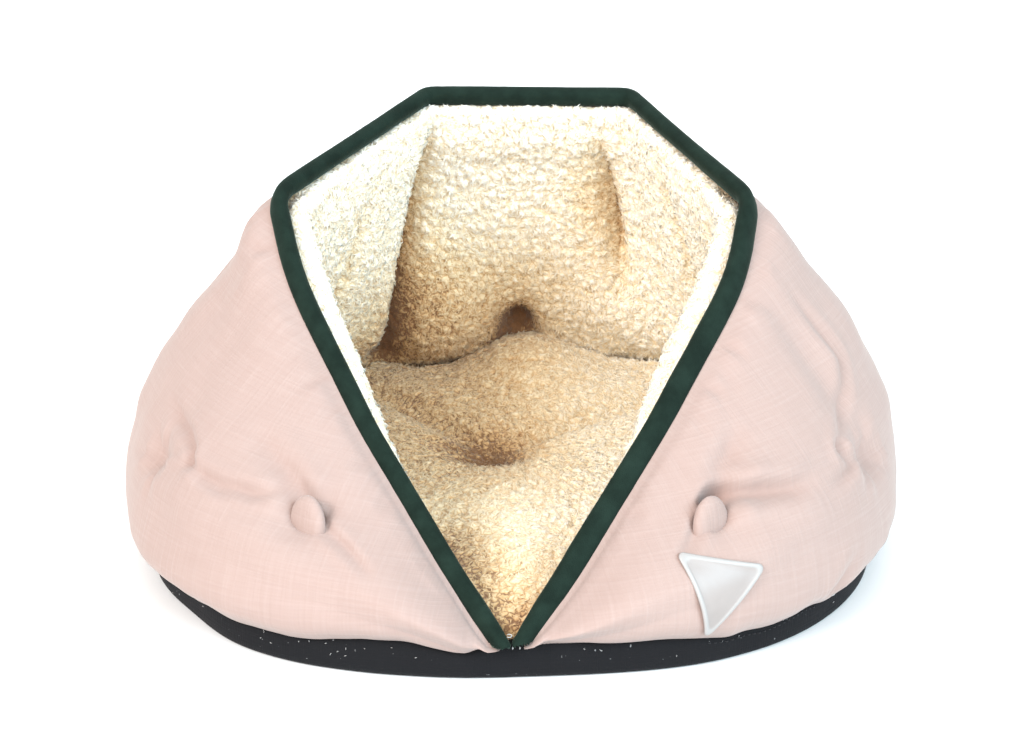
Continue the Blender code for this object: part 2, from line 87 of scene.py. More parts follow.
CUSHION_TUFT_RADIUS = 0.030
TAG_SIDE = 0.0575
TAG_CORNER = 0.003
TAG_NARROWING = 0.96
TAG_AZIMUTH = 29.0
TAG_HEIGHT = 0.0398
TAG_LEAN = -15.5
FIRST_AZIMUTH = 3.6

# The rim: corners of the binding's centre line, from the right of the V round to its left.
#    x        y       z      rounding
RIM = (
    (0.0052, -0.2315, 0.0248, 0.0),
    (0.0385, -0.199, 0.0615, 0.300),
    (0.0885, -0.141, 0.1235, 0.300),
    (0.1400, -0.067, 0.1925, 0.300),
    (0.1500, -0.020, 0.2275, 0.026),
    (0.0785, 0.100, 0.2635, 0.011),
    (-0.0565, 0.100, 0.2645, 0.011),
    (-0.1480, -0.020, 0.2325, 0.026),
    (-0.1340, -0.067, 0.1925, 0.300),
    (-0.0865, -0.141, 0.1235, 0.300),
    (-0.0380, -0.199, 0.0615, 0.300),
    (-0.0068, -0.2315, 0.0248, 0.0),
)

#    station  outside  inside
SECTION = (
    (0.00, 0.0060, 0.0120),
    (0.06, 0.0150, 0.0190),
    (0.15, 0.0235, 0.0230),
    (0.30, 0.0315, 0.0255),
    (0.45, 0.0290, 0.0245),
    (0.60, 0.0235, 0.0230),
    (0.75, 0.0170, 0.0205),
    (0.88, 0.0115, 0.0165),
    (0.96, 0.0060, 0.0095),
    (1.00, 0.0000, 0.0000),
)

# Pulls of each tuft, of the crease up from it and of the crease on to the next tuft. Then how wide
# the tuft's pull is in the outer cloth, and how much of the tuft and of each crease shows in it.
#   azimuth   tuft out, in    crease up out, in    along   width   tuft  up    along
TUFTS = (
    (-32.5, 0.014, 0.012, 0.004, 0.003, 0.012, 0.0135, 1.0, 0.20, 0.15),
    (-64.0, 0.018, 0.014, 0.008, 0.006, 0.009, 0.0120, 0.5, 0.15, 0.20),
    (-92.0, 0.018, 0.014, 0.007, 0.006, 0.008, 0.0180, 1.0, 0.90, 0.50),
    (-121.0, 0.018, 0.014, 0.007, 0.006, 0.008, 0.0180, 1.0, 1.00, 1.00),
    (-150.5, 0.018, 0.018, 0.007, 0.019, 0.008, 0.0180, 1.0, 1.00, 1.00),
    (-180.0, 0.018, 0.022, 0.007, 0.000, 0.008, 0.0180, 1.0, 1.00, 1.00),
    (150.5, 0.018, 0.004, 0.007, 0.016, 0.008, 0.0180, 1.0, 1.00, 1.00),
    (121.0, 0.018, 0.014, 0.007, 0.006, 0.008, 0.0180, 1.0, 1.00, 1.00),
    (95.0, 0.016, 0.014, 0.007, 0.006, 0.003, 0.0180, 1.0, 0.90, 0.50),
    (65.0, 0.018, 0.014, 0.013, 0.006, 0.012, 0.0140, 0.6, 0.35, 0.12),
    (32.0, 0.014, 0.012, 0.005, 0.003, 0.000, 0.0135, 1.0, 0.20, 0.00),
)
REAR_TUFT = -180.0
RIGHT_FOLD_TUFT = 150.5

#   azimuth  station  half turn  half length  amount
OUTER_SWELLS = (
    (-84.0, 0.80, 16.0, 0.14, -0.0075),
    (-56.0, 0.05, 16.0, 0.12, 0.0030),
    (-82.0, 0.00, 16.0, 0.08, -0.0050),
    (-17.0, 0.50, 9.0, 0.30, 0.0060),
    (17.0, 0.50, 9.0, 0.30, 0.0050),
    (84.0, 0.42, 14.0, 0.14, 0.0020),
    (84.0, 0.62, 14.0, 0.12, 0.0045),
    (-112.0, 0.90, 24.0, 0.12, 0.0040),
    (-48.0, 0.55, 12.0, 0.25, 0.0035),
    (48.0, 0.55, 12.0, 0.25, 0.0030),
)
INNER_SWELLS = (
    (180.0, 0.80, 75.0, 0.25, -0.0100),
    (-166.0, 0.34, 9.0, 0.16, 0.0080),
    (-128.0, 0.62, 14.0, 0.28, 0.0100),
    (128.0, 0.60, 14.0, 0.28, 0.0060),
)
#   azimuth  half turn  amount
BASE_SWELLS = (
    (-42.0, 22.0, 0.0055),
    (11.0, 13.0, -0.0030),
)
#   azimuth  depth  half width
CUSHION_CREASES = (
    (-143.0, 0.012, 0.014),
    (131.0, 0.012, 0.014),
)
#    x       y     radius  height
CUSHION_LOBES = (
    (0.005, -0.085, 0.080, 0.0050),
    (0.012, 0.140, 0.050, 0.0170),
)

# ------------------------------------------------------------- what only shows close to
BINDING_OVERRUN = 0.011
BINDING_PROUD = 0.0024
BINDING_FOOT_RISE = 0.0012
BINDING_FOOT_SLOPE = 0.04
BINDING_HALF_WIDTH = 0.0062
BINDING_RIGHT_WIDENING = 0.0014
BINDING_RIGHT_SHIFT = 0.0018
BINDING_HALF_THICKNESS = 0.0052
PAD_REAR_RISE = 0.015
PAD_FRONT_DROP = 0.012
PAD_TIP_INSET = 0.0055
REAR_TUFT_RISE = 0.020
REAR_TUFT_SIDE = 0.006
REAR_HOLE_RADIUS = 0.0110
REAR_HOLE_DEPTH = 0.022
PAD_RIGHT_RISE = 0.024
PAD_LEFT_RISE = 0.012
PAD_OVERLAP = 0.006
LIP_LEAST = 0.18
LIP_FRONT_TURN = 88.0
LIP_RIGHT_SHARE = 1.9
LIP_SIDE_REACH = 0.45
LIP_SIDE_RISE = 1.2
# Amounts of painted shade on the fleece: the cave's shaded left side, the gaps between its lumps, the V
# tip, the pad's left front and its front.
PAINTED_SIDE_SHADE = 0.45
PILE_SHADE = 0.30
TIP_SHADE = 0.62
LEFT_SHADE = 0.50
FRONT_SHADE = 0.22
RIGHT_FOLD_START = 0.42
WALL_COLUMNS = 640
WALL_ROWS = 84
LINING_BACK_COLUMNS = 380
LINING_FRONT_COLUMNS = 90
LINING_ROWS = 134
LINING_BRIDGE_ROWS = 9
LINING_SMOOTHED_ROWS = 24
LINING_TOP_STATION = 0.93
PAD_COLUMNS = 400
PAD_RINGS = 84
LINING_LOCKS = 12500
PAD_LOCKS = 13000
LOCK_LENGTH = 0.0040
PILE_HEIGHT = 0.0046
LINING_CURL = 0.0074
PAD_CURL = 0.0076
PILE_SUNK = 0.0030
PAD_SUNK = 0.0035
BINDING_STEPS = 720
BINDING_SIDES = 16
BASE_COLUMNS = 480

# Rows of the hidden faces between the wall and its lining, closer together round the tufts.
HIDDEN_STATIONS = np.array((1.0, 0.78, 0.58, 0.46, 0.40, 0.35, 0.31, 0.27, 0.22, 0.12, 0.0))

# The fleece lip beside the binding: rise along the wall and stand-off from its edge.
LIP = (
    (0.0000, 0.0150),
    (0.0024, 0.0146),
    (0.0042, 0.0128),
    (0.0050, 0.0100),
    (0.0046, 0.0068),
    (0.0030, 0.0030),
    (0.0006, 0.0000),
)

#  azimuth  height of the seam between the black band and the pink cloth
SEAM_HEIGHTS = (
    (-180.0, 0.0195),
    (-75.0, 0.0210),
    (-52.0, 0.0234),
    (-46.5, 0.0226),
    (-41.5, 0.0206),
    (-34.0, 0.0199),
    (-29.5, 0.0198),
    (-25.0, 0.0225),
    (-16.0, 0.0248),
    (-11.0, 0.0207),
    (-6.8, 0.0177),
    (-5.0, 0.0200),
    (-0.7, 0.0236),
    (1.5, 0.0242),
    (5.0, 0.0242),
    (10.0, 0.0228),
    (16.0, 0.0216),
    (22.0, 0.0221),
    (26.7, 0.0198),
    (31.5, 0.0173),
    (34.5, 0.0183),
    (38.0, 0.0172),
    (43.0, 0.0187),
    (46.0, 0.0201),
    (51.0, 0.0183),
    (57.0, 0.0198),
    (75.0, 0.0200),
    (180.0, 0.0195),
)

GATHER_DEPTH = 0.0006
GATHER_RADIUS = 0.016
GATHER_SPREAD = 0.011
FOOT_TUCK = 0.0075
FOOT_HEIGHT = 0.008

# Rings of the tag's face from its edge in: scale, height, share of the rim's colour.
TAG_RINGS = (
    (1.0, 0.0, 0.0), (1.0, 0.0008, 0.8), (0.985, 0.0013, 1.0), (0.955, 0.0016, 1.0),
    (0.89, 0.0016, 1.0), (0.86, 0.0014, 0.8), (0.835, 0.0011, 0.3), (0.80, 0.0009, 0.0),
    (0.60, 0.0009, 0.0), (0.40, 0.0009, 0.0), (0.20, 0.0009, 0.0), (0.0, 0.0009, 0.0),
)

# Low pillows of the fleece that overhang the floor pad beside the rear tuft.
LOW_PILLOWS = (
    (-157.0, 0.32, 13.0, 0.18, 0.0130),
    (150.0, 0.32, 17.0, 0.17, 0.0110),
)

# Fibres on the black band: azimuth, height.
LINT = (
    (-46.5, 0.0200), (-36.7, 0.0172), (-31.0, 0.0160), (-29.4, 0.0175), (-27.0, 0.0178), (-25.2, 0.0135),
    (-26.3, 0.0112), (-21.2, 0.0175), (-17.5, 0.0195), (-24.0, 0.0160), (34.0, 0.0150), (42.0, 0.0160),
)

# Painted shade on the inner fleece, in the wedges beside the back folds, low on the left flap and in the
# rear tuft's hole: azimuth from the back, half turn, station, half length, amount.
PAINTED_SHADE_PATCHES = (
    (-23.5, 6.0, 0.74, 0.16, 0.45),
    (22.0, 6.0, 0.52, 0.20, 0.30),
    (68.0, 22.0, 0.36, 0.28, 0.42),
    (-1.6, 3.8, 0.32, 0.055, 1.2),
    (3.5, 3.5, 0.24, 0.060, 0.9),
)

# Small creases in the outer cloth: places (azimuth, station, depth) along each, and half width.
OUTER_FOLDS = (
    (((-55.0, 0.42, 0.0015), (-51.5, 0.42, 0.0030), (-47.0, 0.44, 0.0030), (-41.8, 0.48, 0.0028),
      (-39.5, 0.52, 0.0025), (-37.5, 0.58, 0.0015)), 0.0034),
    (((-51.0, 0.39, 0.0010), (-47.0, 0.41, 0.0022), (-43.5, 0.42, 0.0)), 0.0030),
    (((-49.0, 0.65, 0.0), (-44.0, 0.65, 0.0020), (-39.5, 0.64, 0.0038), (-36.0, 0.62, 0.0050)), 0.0070),
    (((-28.5, 0.55, 0.0022), (-25.5, 0.54, 0.0026), (-22.2, 0.51, 0.0020), (-19.0, 0.47, 0.0)), 0.0034),
    (((-70.0, 0.48, 0.0), (-65.0, 0.48, 0.0022), (-59.2, 0.48, 0.0030), (-56.0, 0.46, 0.0034),
      (-55.0, 0.42, 0.0030), (-57.0, 0.36, 0.0)), 0.0038),
    (((-77.0, 0.95, 0.0), (-74.2, 0.96, 0.0026), (-72.5, 1.0, 0.0026)), 0.0030),
    (((33.0, 0.62, 0.0070), (36.0, 0.60, 0.0095), (39.0, 0.55, 0.0085), (42.0, 0.50, 0.0065),
      (46.0, 0.45, 0.0045), (51.0, 0.42, 0.0)), 0.0052),
    (((34.5, 0.64, 0.0060), (37.0, 0.69, 0.0055), (40.2, 0.73, 0.0036), (44.2, 0.76, 0.0)), 0.0085),
    (((70.8, 0.88, 0.0), (71.8, 0.79, 0.0018), (72.0, 0.69, 0.0026), (72.0, 0.61, 0.0026),
      (69.2, 0.55, 0.0022), (64.0, 0.50, 0.0018), (59.0, 0.46, 0.0020)), 0.0042),
    (((58.5, 0.44, 0.0030), (59.2, 0.37, 0.0030), (55.5, 0.36, 0.0020), (52.0, 0.37, 0.0)), 0.0038),
    (((29.0, 0.57, 0.0030), (27.2, 0.52, 0.0024), (24.2, 0.48, 0.0)), 0.0040),
    (((56.0, 0.12, 0.0), (52.5, 0.09, 0.0030), (50.0, 0.05, 0.0030)), 0.0036),
    (((-43.5, 1.0, 0.0026), (-45.5, 0.90, 0.0)), 0.0030),
    (((-37.8, 1.0, 0.0026), (-39.0, 0.89, 0.0)), 0.0034),
    (((-27.8, 1.0, 0.0028), (-30.0, 0.88, 0.0)), 0.0030),
    (((-21.2, 1.0, 0.0026), (-23.5, 0.86, 0.0)), 0.0030),
    (((-13.0, 1.0, 0.0022), (-15.0, 0.84, 0.0)), 0.0028),
    (((-9.0, 0.96, 0.0020), (-11.5, 0.72, 0.0)), 0.0026),
    (((61.8, 1.0, 0.0030), (65.0, 0.92, 0.0)), 0.0034),
    (((51.8, 1.0, 0.0034), (53.5, 0.90, 0.0)), 0.0034),
    (((43.0, 1.0, 0.0028), (45.0, 0.89, 0.0)), 0.0032),
    (((20.0, 1.0, 0.0022), (22.5, 0.84, 0.0)), 0.0030),
)

# ------------------------------------------------------------- colours (linear RGB)
BLUSH = (0.342, 0.240, 0.211)
BLUSH_PALE = (0.376, 0.275, 0.246)
# The darkest blush is painted shade for the cloth's creases and tufts.
BLUSH_CREASE_SHADE = (0.28, 0.172, 0.142)
GREEN = (0.0045, 0.0115, 0.0080)
GREEN_PALE = (0.012, 0.026, 0.019)
# The fleece's own cream is at its tips; the darker colours below are painted shade, from tan toward its
# roots to brown in its deepest hollows.
FLEECE_DEEPEST_SHADE = (0.22, 0.11, 0.05)
FLEECE_ROOT_SHADE = (0.58, 0.36, 0.17)
FLEECE_HALF_SHADE = (0.80, 0.65, 0.43)
FLEECE_TIP = (0.92, 0.88, 0.80)
BLACK = (0.0045, 0.0045, 0.0058)
BLACK_WORN = (0.0075, 0.0075, 0.009)
LINT_COLOUR = (0.55, 0.55, 0.56)
RUBBER = (0.285, 0.248, 0.234)
RUBBER_CLOUDY = (0.305, 0.268, 0.254)
RUBBER_RIM = (0.355, 0.338, 0.328)
THREAD = (0.45, 0.44, 0.43)
WHITE_THREAD = (0.34, 0.34, 0.34)
GREY_THREAD = (0.012, 0.012, 0.014)


# ------------------------------------------------------------- light and camera
WORLD_STRENGTH = 0.66
#   name  azimuth  elevation  softness  strength  colour
LIGHTS = (
    ("left_box", -48.0, 33.0, 28.0, 0.96, (1.0, 0.97, 0.94)),
    ("right_box", 47.0, 28.0, 34.0, 0.90, (0.76, 1.04, 1.19)),
    ("front_fill", 2.0, 30.0, 44.0, 0.48, (1.0, 0.98, 0.95)),
    ("back_fill", 178.0, 34.0, 60.0, 0.45, (1.0, 0.98, 0.96)),
)
CAMERA_PLACE = (0.0, -1.6804, 0.7486)
CAMERA_TARGET = (0.0, 0.0, 0.1035)
CAMERA_LENS = 97.327


# ------------------------------------------------------------- number helpers
def bell(distance, width):
    """1 at no distance, falling softly to nothing."""
    return np.exp(-(np.asarray(distance) / width) ** 2)


def unit(v):
    return v / np.linalg.norm(v, axis=-1, keepdims=True)


def dot(a, b):
    return (a * b).sum(axis=-1)


def read_table(rows, column, x):
    """Smooth reading of one column of a table whose first column rises."""
    keys = np.array([row[0] for row in rows])
    values = np.array([row[column] for row in rows])
    wide_keys = np.concatenate((keys[:1], keys, keys[-1:]))
    wide_values = np.concatenate((values[:1], values, values[-1:]))
    slopes = (wide_values[2:] - wide_values[:-2]) / (wide_keys[2:] - wide_keys[:-2])
    i = np.clip(np.searchsorted(keys, x, side="right") - 1, 0, len(keys) - 2)
    width = keys[i + 1] - keys[i]
    t = (x - keys[i]) / width
    return ((2 * t**3 - 3 * t**2 + 1) * values[i] + (t**3 - 2 * t**2 + t) * width * slopes[i]
            + (3 * t**2 - 2 * t**3) * values[i + 1] + (t**3 - t**2) * width * slopes[i + 1])


def lattice(ix, iy, iz, seed):
    """A fixed random number from 0 to 1 for each point of a whole-number lattice."""
    h = (ix * 73856093) ^ (iy * 19349663) ^ (iz * 83492791) ^ (seed * 2654435761)
    h &= 0xFFFFFFFF
    h = ((h ^ (h >> 13)) * 1274126177) & 0xFFFFFFFF
    h = ((h ^ (h >> 15)) * 668265263) & 0xFFFFFFFF
    return ((h ^ (h >> 16)) & 0xFFFFFF) / float(0xFFFFFF)


def noise(points, seed=0):
    """Smooth noise from -1 to 1 at each point of an array of 3-D places."""
    low = np.floor(points).astype(np.int64)
    t = points - low
    t = t * t * (3.0 - 2.0 * t)
    total = 0.0
    for dx in (0, 1):
        for dy in (0, 1):
            for dz in (0, 1):
                weight = ((t[..., 0] if dx else 1.0 - t[..., 0])
                          * (t[..., 1] if dy else 1.0 - t[..., 1])
                          * (t[..., 2] if dz else 1.0 - t[..., 2]))
                corner = lattice(low[..., 0] + dx, low[..., 1] + dy, low[..., 2] + dz, seed)
                total = total + weight * corner
    return 2.0 * total - 1.0


def cells(points, seed):
    """Distances from each place to the nearest and the next of one scattered point per unit cube."""
    low = np.floor(points).astype(np.int64)
    nearest = np.full(points.shape[:-1], 9.0)
    following = nearest.copy()
    for step in np.ndindex(3, 3, 3):
        ix, iy, iz = (low[..., k] + step[k] - 1 for k in range(3))
        centre = np.stack([cell + 0.1 + 0.8 * lattice(ix, iy, iz, seed + k)
                           for k, cell in enumerate((ix, iy, iz))], axis=-1)
        away = np.linalg.norm(points - centre, axis=-1)
        following = np.minimum(following, np.maximum(nearest, away))
        nearest = np.minimum(nearest, away)
    return nearest, following


def flat_noise(x, y, seed):
    """The same noise over a sheet."""
    x, y = np.broadcast_arrays(x, y)
    return noise(np.stack((x, y, np.full(x.shape, 0.5)), axis=-1), seed)


def direction(azimuth):
    a = np.radians(azimuth)
    return np.stack((np.sin(a), -np.cos(a), np.zeros_like(a)), axis=-1)


def turn_between(a, b):
    """Signed difference of two azimuths, in -180 to 180."""
    return (np.asarray(a) - b + 180.0) % 360.0 - 180.0


def base_radius(azimuth):
    d = np.abs(direction(azimuth))
    total = (d[..., 0] / BASE_HALF_WIDTH) ** BASE_SQUARENESS
    total += (d[..., 1] / BASE_HALF_DEPTH) ** BASE_SQUARENESS
    radius = total ** (-1.0 / BASE_SQUARENESS)
    for middle, half_turn, amount in BASE_SWELLS:
        radius = radius + amount * bell(turn_between(azimuth, middle), half_turn)
    return radius


# ------------------------------------------------------------- the rim
def round_corner(before, corner, after, radius, steps):
    """Points of the arc that rounds one corner of a line in space."""
    if radius == 0.0:
        return [corner]
    u = (before - corner).normalized()
    w = (after - corner).normalized()
    half = 0.5 * u.angle(w)
    cut = radius / math.tan(half)
    cut = min(cut, 0.49 * (before - corner).length, 0.49 * (after - corner).length)
    radius = cut * math.tan(half)
    centre = corner + (u + w).normalized() * (radius / math.sin(half))
    start = corner + u * cut - centre
    end = corner + w * cut - centre
    sweep = start.angle(end)
    points = []
    for i in range(steps + 1):
        t = i / steps
        a = math.sin((1.0 - t) * sweep) / math.sin(sweep)
        b = math.sin(t * sweep) / math.sin(sweep)
        points.append(centre + start * a + end * b)
    return points


def even_points(line, count):
    """The same line cut into even steps."""
    lengths = np.concatenate(((0.0,), np.cumsum(np.linalg.norm(np.diff(line, axis=0), axis=1))))
    along = np.linspace(0.0, lengths[-1], count)
    return np.stack([np.interp(along, lengths, line[:, k]) for k in range(3)], axis=-1)


def rim_line():
    corners = [Vector(row[:3]) for row in RIM]
    dense = []
    for i, row in enumerate(RIM):
        following = corners[(i + 1) % len(corners)]
        dense += round_corner(corners[i - 1], corners[i], following, row[3], 12)
    return even_points(np.array([tuple(p) for p in dense]), 331)


RIM_LINE = rim_line()
RIM_AZIMUTHS = np.degrees(np.unwrap(np.arctan2(RIM_LINE[:, 0], -RIM_LINE[:, 1])))


def seam_height(azimuths):
    """Where the pink cloth meets the black band, which rises and dips with the stitching."""
    return read_table(SEAM_HEIGHTS, 1, turn_between(azimuths, 0.0))


def rim_at(azimuths):
    turned = np.asarray(azimuths) % 360.0
    return np.stack([np.interp(turned, RIM_AZIMUTHS, RIM_LINE[:, k]) for k in range(3)], axis=-1)


def clears_binding(points):
    starts, ends = RIM_LINE[:-1:3], RIM_LINE[3::3]
    span = ends - starts
    away = points[:, None, :] - starts
    t = np.clip(dot(away, span) / dot(span, span), 0.0, 1.0)
    nearest = np.linalg.norm(away - span * t[..., None], axis=-1).min(axis=1)
    return nearest >= BINDING_RADIUS + BINDING_CLEARANCE


# ------------------------------------------------------------- the wall
class Chords:
    """The straight lines from the base's seam to the rim, one for each azimuth."""

    def __init__(self, azimuths):
        self.azimuth = np.asarray(azimuths, float)
        self.level = direction(self.azimuth)
        self.rim = rim_at(self.azimuth)
        self.seam = self.level * base_radius(self.azimuth)[:, None]
        self.seam[:, 2] = BASE_HEIGHT + GAP
        self.foot = seam_height(self.azimuth) + GAP
        span = self.rim - self.seam
        self.rise = unit(span)
        self.outward = unit(self.level - self.rise * dot(self.level, self.rise)[:, None])
        self.puff = 1.0 - np.exp(-np.linalg.norm(span, axis=1) / FULL_PUFF_LENGTH)
        self.fleece = LINING_THICKNESS * np.sqrt(self.puff)
        self.top = self.rim - self.rise * BINDING_RADIUS
        self.lower_top()
        self.length = np.linalg.norm(self.top - self.seam, axis=1)
        row = (TUFT_HEIGHT - TUFT_DROP - self.seam[:, 2]) / (self.top[:, 2] - self.seam[:, 2])
        self.row = np.minimum(row, HIGHEST_TUFT_STATION)

    def lower_top(self):
        """The wall stops below the rim, where its edges clear the binding."""
        longest = np.linalg.norm(self.rim - self.seam, axis=1) - GAP
        drop = np.full(len(self.azimuth), BINDING_RADIUS)
        edges = (EDGE_OUTSIDE, -EDGE_INSIDE, -EDGE_INSIDE - GAP - self.fleece)
        while True:
            clear = np.ones(len(drop), bool)
            for edge in edges:
                offset = np.broadcast_to(edge, drop.shape)[:, None]
                clear &= clears_binding(self.points(np.array((1.0,)), offset)[:, 0])
            clear |= drop >= longest - GAP
            if clear.all():
                return
            drop = np.where(clear, drop, drop + GAP)
            self.top = self.rim - self.rise * np.minimum(drop, longest)[:, None]

    def ways(self, stations):
        """Out of the wall: level at the seam, square to the line from base to rim above it."""
        level = np.maximum(1.0 - self.puff[:, None], bell(stations, SEAM_LEVEL_LENGTH))
        level = level[..., None]
        return unit(self.outward[:, None] * (1.0 - level) + self.level[:, None] * level)

    def points(self, stations, offsets):
        stations = np.broadcast_to(stations, offsets.shape)
        place = self.seam[:, None] + (self.top - self.seam)[:, None] * stations[..., None]
        place = place + self.ways(stations) * offsets[..., None]
        place[..., 2] = np.maximum(place[..., 2], BASE_HEIGHT + GAP)
        return place

    def outer_points(self, stations, offsets):
        """The same, with the foot of the wall brought to the seam's own height."""
        place = self.points(stations, offsets)
        lower = (self.foot - BASE_HEIGHT - GAP)[:, None]
        place[..., 2] += lower * bell(place[..., 2] - BASE_HEIGHT, 0.016)
        return place


def way_from_tuft(chords, stations, azimuth):
    """How far along the wall and how far up it each place lies from a tuft."""
    across = np.radians(turn_between(chords.azimuth, azimuth))[:, None] * ARC_RADIUS
    return across, chords.length[:, None] * (stations - chords.row[:, None])


def pull_at(chords, stations, inside):
    """How far the tufts and creases pull the outer or the inner face in."""
    above = (stations - chords.row[:, None]) / (1.0 - chords.row[:, None])
    behind = bell(turn_between(chords.azimuth, 180.0), 50.0)[:, None]
    pull = np.zeros((len(chords.azimuth), np.shape(stations)[-1]))
    for tuft, following in zip(TUFTS, TUFTS[1:] + TUFTS[:1]):
        azimuth, deepest, inner, crease, inner_crease, along, reach, share, up_share, along_share = tuft
        across, up = way_from_tuft(chords, stations, azimuth)
        if inside:
            deepest, crease, reach, share, up_share = inner, inner_crease, TUFT_RADIUS, 1.0, 1.0
            along_share = 1.0 - behind
        if inside and azimuth == REAR_TUFT:
            up, across = up - REAR_TUFT_RISE, across + REAR_TUFT_SIDE
            hole = bell(np.hypot(across, up), REAR_HOLE_RADIUS)
            pull = np.maximum(pull, REAR_HOLE_DEPTH * hole)
        if inside and azimuth == RIGHT_FOLD_TUFT:
            up_share = np.clip((stations - RIGHT_FOLD_START) / 0.2, 0.0, 1.0)
        pull = np.maximum(pull, deepest * share * bell(np.hypot(across, up), reach))
        rising = up_share * crease * (1.0 - above**3) * bell(across, CREASE_HALF_WIDTH)
        pull = np.maximum(pull, np.where(above > 0.0, rising, 0.0))
        part = (turn_between(chords.azimuth, azimuth) / turn_between(following[0], azimuth))[:, None]
        level = along * bell(up, CREASE_HALF_WIDTH) * along_share
        pull = np.maximum(pull, np.where((part >= 0.0) & (part <= 1.0), level, 0.0))
    return pull


def swell_at(chords, stations, swells):
    total = 0.0
    for azimuth, middle, half_turn, half_length, amount in swells:
        near = bell(turn_between(chords.azimuth, azimuth), half_turn)[:, None]
        total = total + amount * near * bell(stations - middle, half_length)
    return total * np.minimum(1.0, (1.0 - stations) / 0.15)


def unpulled_offset(chords, stations):
    puffed = EDGE_OUTSIDE + chords.puff[:, None] * read_table(SECTION, 1, stations)
    return puffed + swell_at(chords, stations, OUTER_SWELLS)


def button_seat(tuft):
    """Where a button's back lies, and the way it faces."""
    chord = Chords([tuft[0]])
    row = chord.row[:, None]
    upturn = math.radians(BUTTON_UPTURN)
    out = direction(math.copysign(BUTTON_FACING, tuft[0])) * math.cos(upturn)
    out[2] = math.sin(upturn)
    return chord.points(row, unpulled_offset(chord, row) - tuft[1])[0, 0], out


BUTTON_TUFTS = (TUFTS[0], TUFTS[-1])
BUTTON_SEATS = [button_seat(tuft) for tuft in BUTTON_TUFTS]


def outside_offset(chords, stations):
    """The outer face, pulled in by the tufts and lying flat behind each button."""
    offset = unpulled_offset(chords, stations)
    offset = offset - chords.puff[:, None] * pull_at(chords, stations, False)
    ways = chords.ways(np.broadcast_to(stations, offset.shape))
    for tuft, (seat, out) in zip(BUTTON_TUFTS, BUTTON_SEATS):
        away = np.hypot(*way_from_tuft(chords, stations, tuft[0])) - BUTTON_RADIUS
        near = away < BUTTON_RADIUS * 2.0
        facing = np.where(near, dot(ways, out), 1.0)
        behind = dot(seat - chords.points(stations, offset), out) / facing
        offset = offset + np.where(near, behind * bell(np.maximum(away + SEAT_INSET, 0.0), SEAT_EDGE), 0.0)
    return offset


def inside_offset(chords, stations):
    """The wall's inner face, which the lining lies on."""
    puffed = EDGE_INSIDE + chords.puff[:, None] * read_table(SECTION, 2, stations)
    puffed = puffed + swell_at(chords, stations, INNER_SWELLS + LOW_PILLOWS)
    return chords.puff[:, None] * pull_at(chords, stations, True) - puffed


def fold_depth(chords, stations, folds):
    """The small creases: a narrow pull with a low shoulder on each side."""
    total = np.zeros((len(chords.azimuth), np.shape(stations)[-1]))
    length = chords.length[:, None]
    for places, width in folds:
        nearest = np.full(total.shape, 1.0)
        depth = np.zeros(total.shape)
        start = turn_between(places[0][0], chords.azimuth)[:, None]
        for (a0, s0, d0), (a1, s1, d1) in zip(places, places[1:]):
            x0 = np.radians(start + a0 - places[0][0]) * ARC_RADIUS
            x1 = np.radians(start + a1 - places[0][0]) * ARC_RADIUS
            y0 = (s0 - stations) * length
            y1 = (s1 - stations) * length
            ex, ey = x1 - x0, y1 - y0
            t = np.clip(-(x0 * ex + y0 * ey) / (ex * ex + ey * ey), 0.0, 1.0)
            away = np.hypot(x0 + t * ex, y0 + t * ey)
            closer = away < nearest
            nearest = np.where(closer, away, nearest)
            depth = np.where(closer, d0 + (d1 - d0) * t, depth)
        total += depth * (bell(nearest, width) - 0.35 * bell(nearest - 2.2 * width, width))
    return total


def gathers(chords, stations):
    """Folds that radiate from the tied tufts."""
    total = 0.0
    for tuft in TUFTS[1:-1]:
        across, up = way_from_tuft(chords, stations, tuft[0])
        angle = np.arctan2(up, across)
        away = np.hypot(across, up)
        folds = np.cos(7.0 * angle + tuft[0]) + 0.7 * np.cos(11.0 * angle + 2.0 * tuft[0])
        total = total + GATHER_DEPTH * folds * bell(away - GATHER_RADIUS, GATHER_SPREAD)
    return total


def small_relief(chords, stations, points, seed):
    """Puckers beside the binding and the base seam, and slight unevenness all over."""
    around = np.radians(chords.azimuth)[:, None] * ARC_RADIUS
    up = stations * chords.length[:, None]
    down = (1.0 - stations) * chords.length[:, None]
    lean = around + 0.25 * down
    pucker = flat_noise(lean / 0.013, down / 0.060, seed)
    pucker = pucker + 0.5 * flat_noise(lean / 0.006, down / 0.04, seed + 1)
    relief = 0.0013 * pucker * bell(down - 0.004, 0.020)
    gather = flat_noise(around / 0.010, up / 0.050, seed + 2)
    relief = relief + 0.0011 * gather * bell(up - 0.003, 0.014)
    relief = relief + 0.0016 * noise(points / 0.050, seed + 3) + 0.0007 * noise(points / 0.018, seed + 4)
    return relief * chords.puff[:, None]


# ------------------------------------------------------------- making meshes
def link(obj):
    bpy.context.scene.collection.objects.link(obj)
    return obj


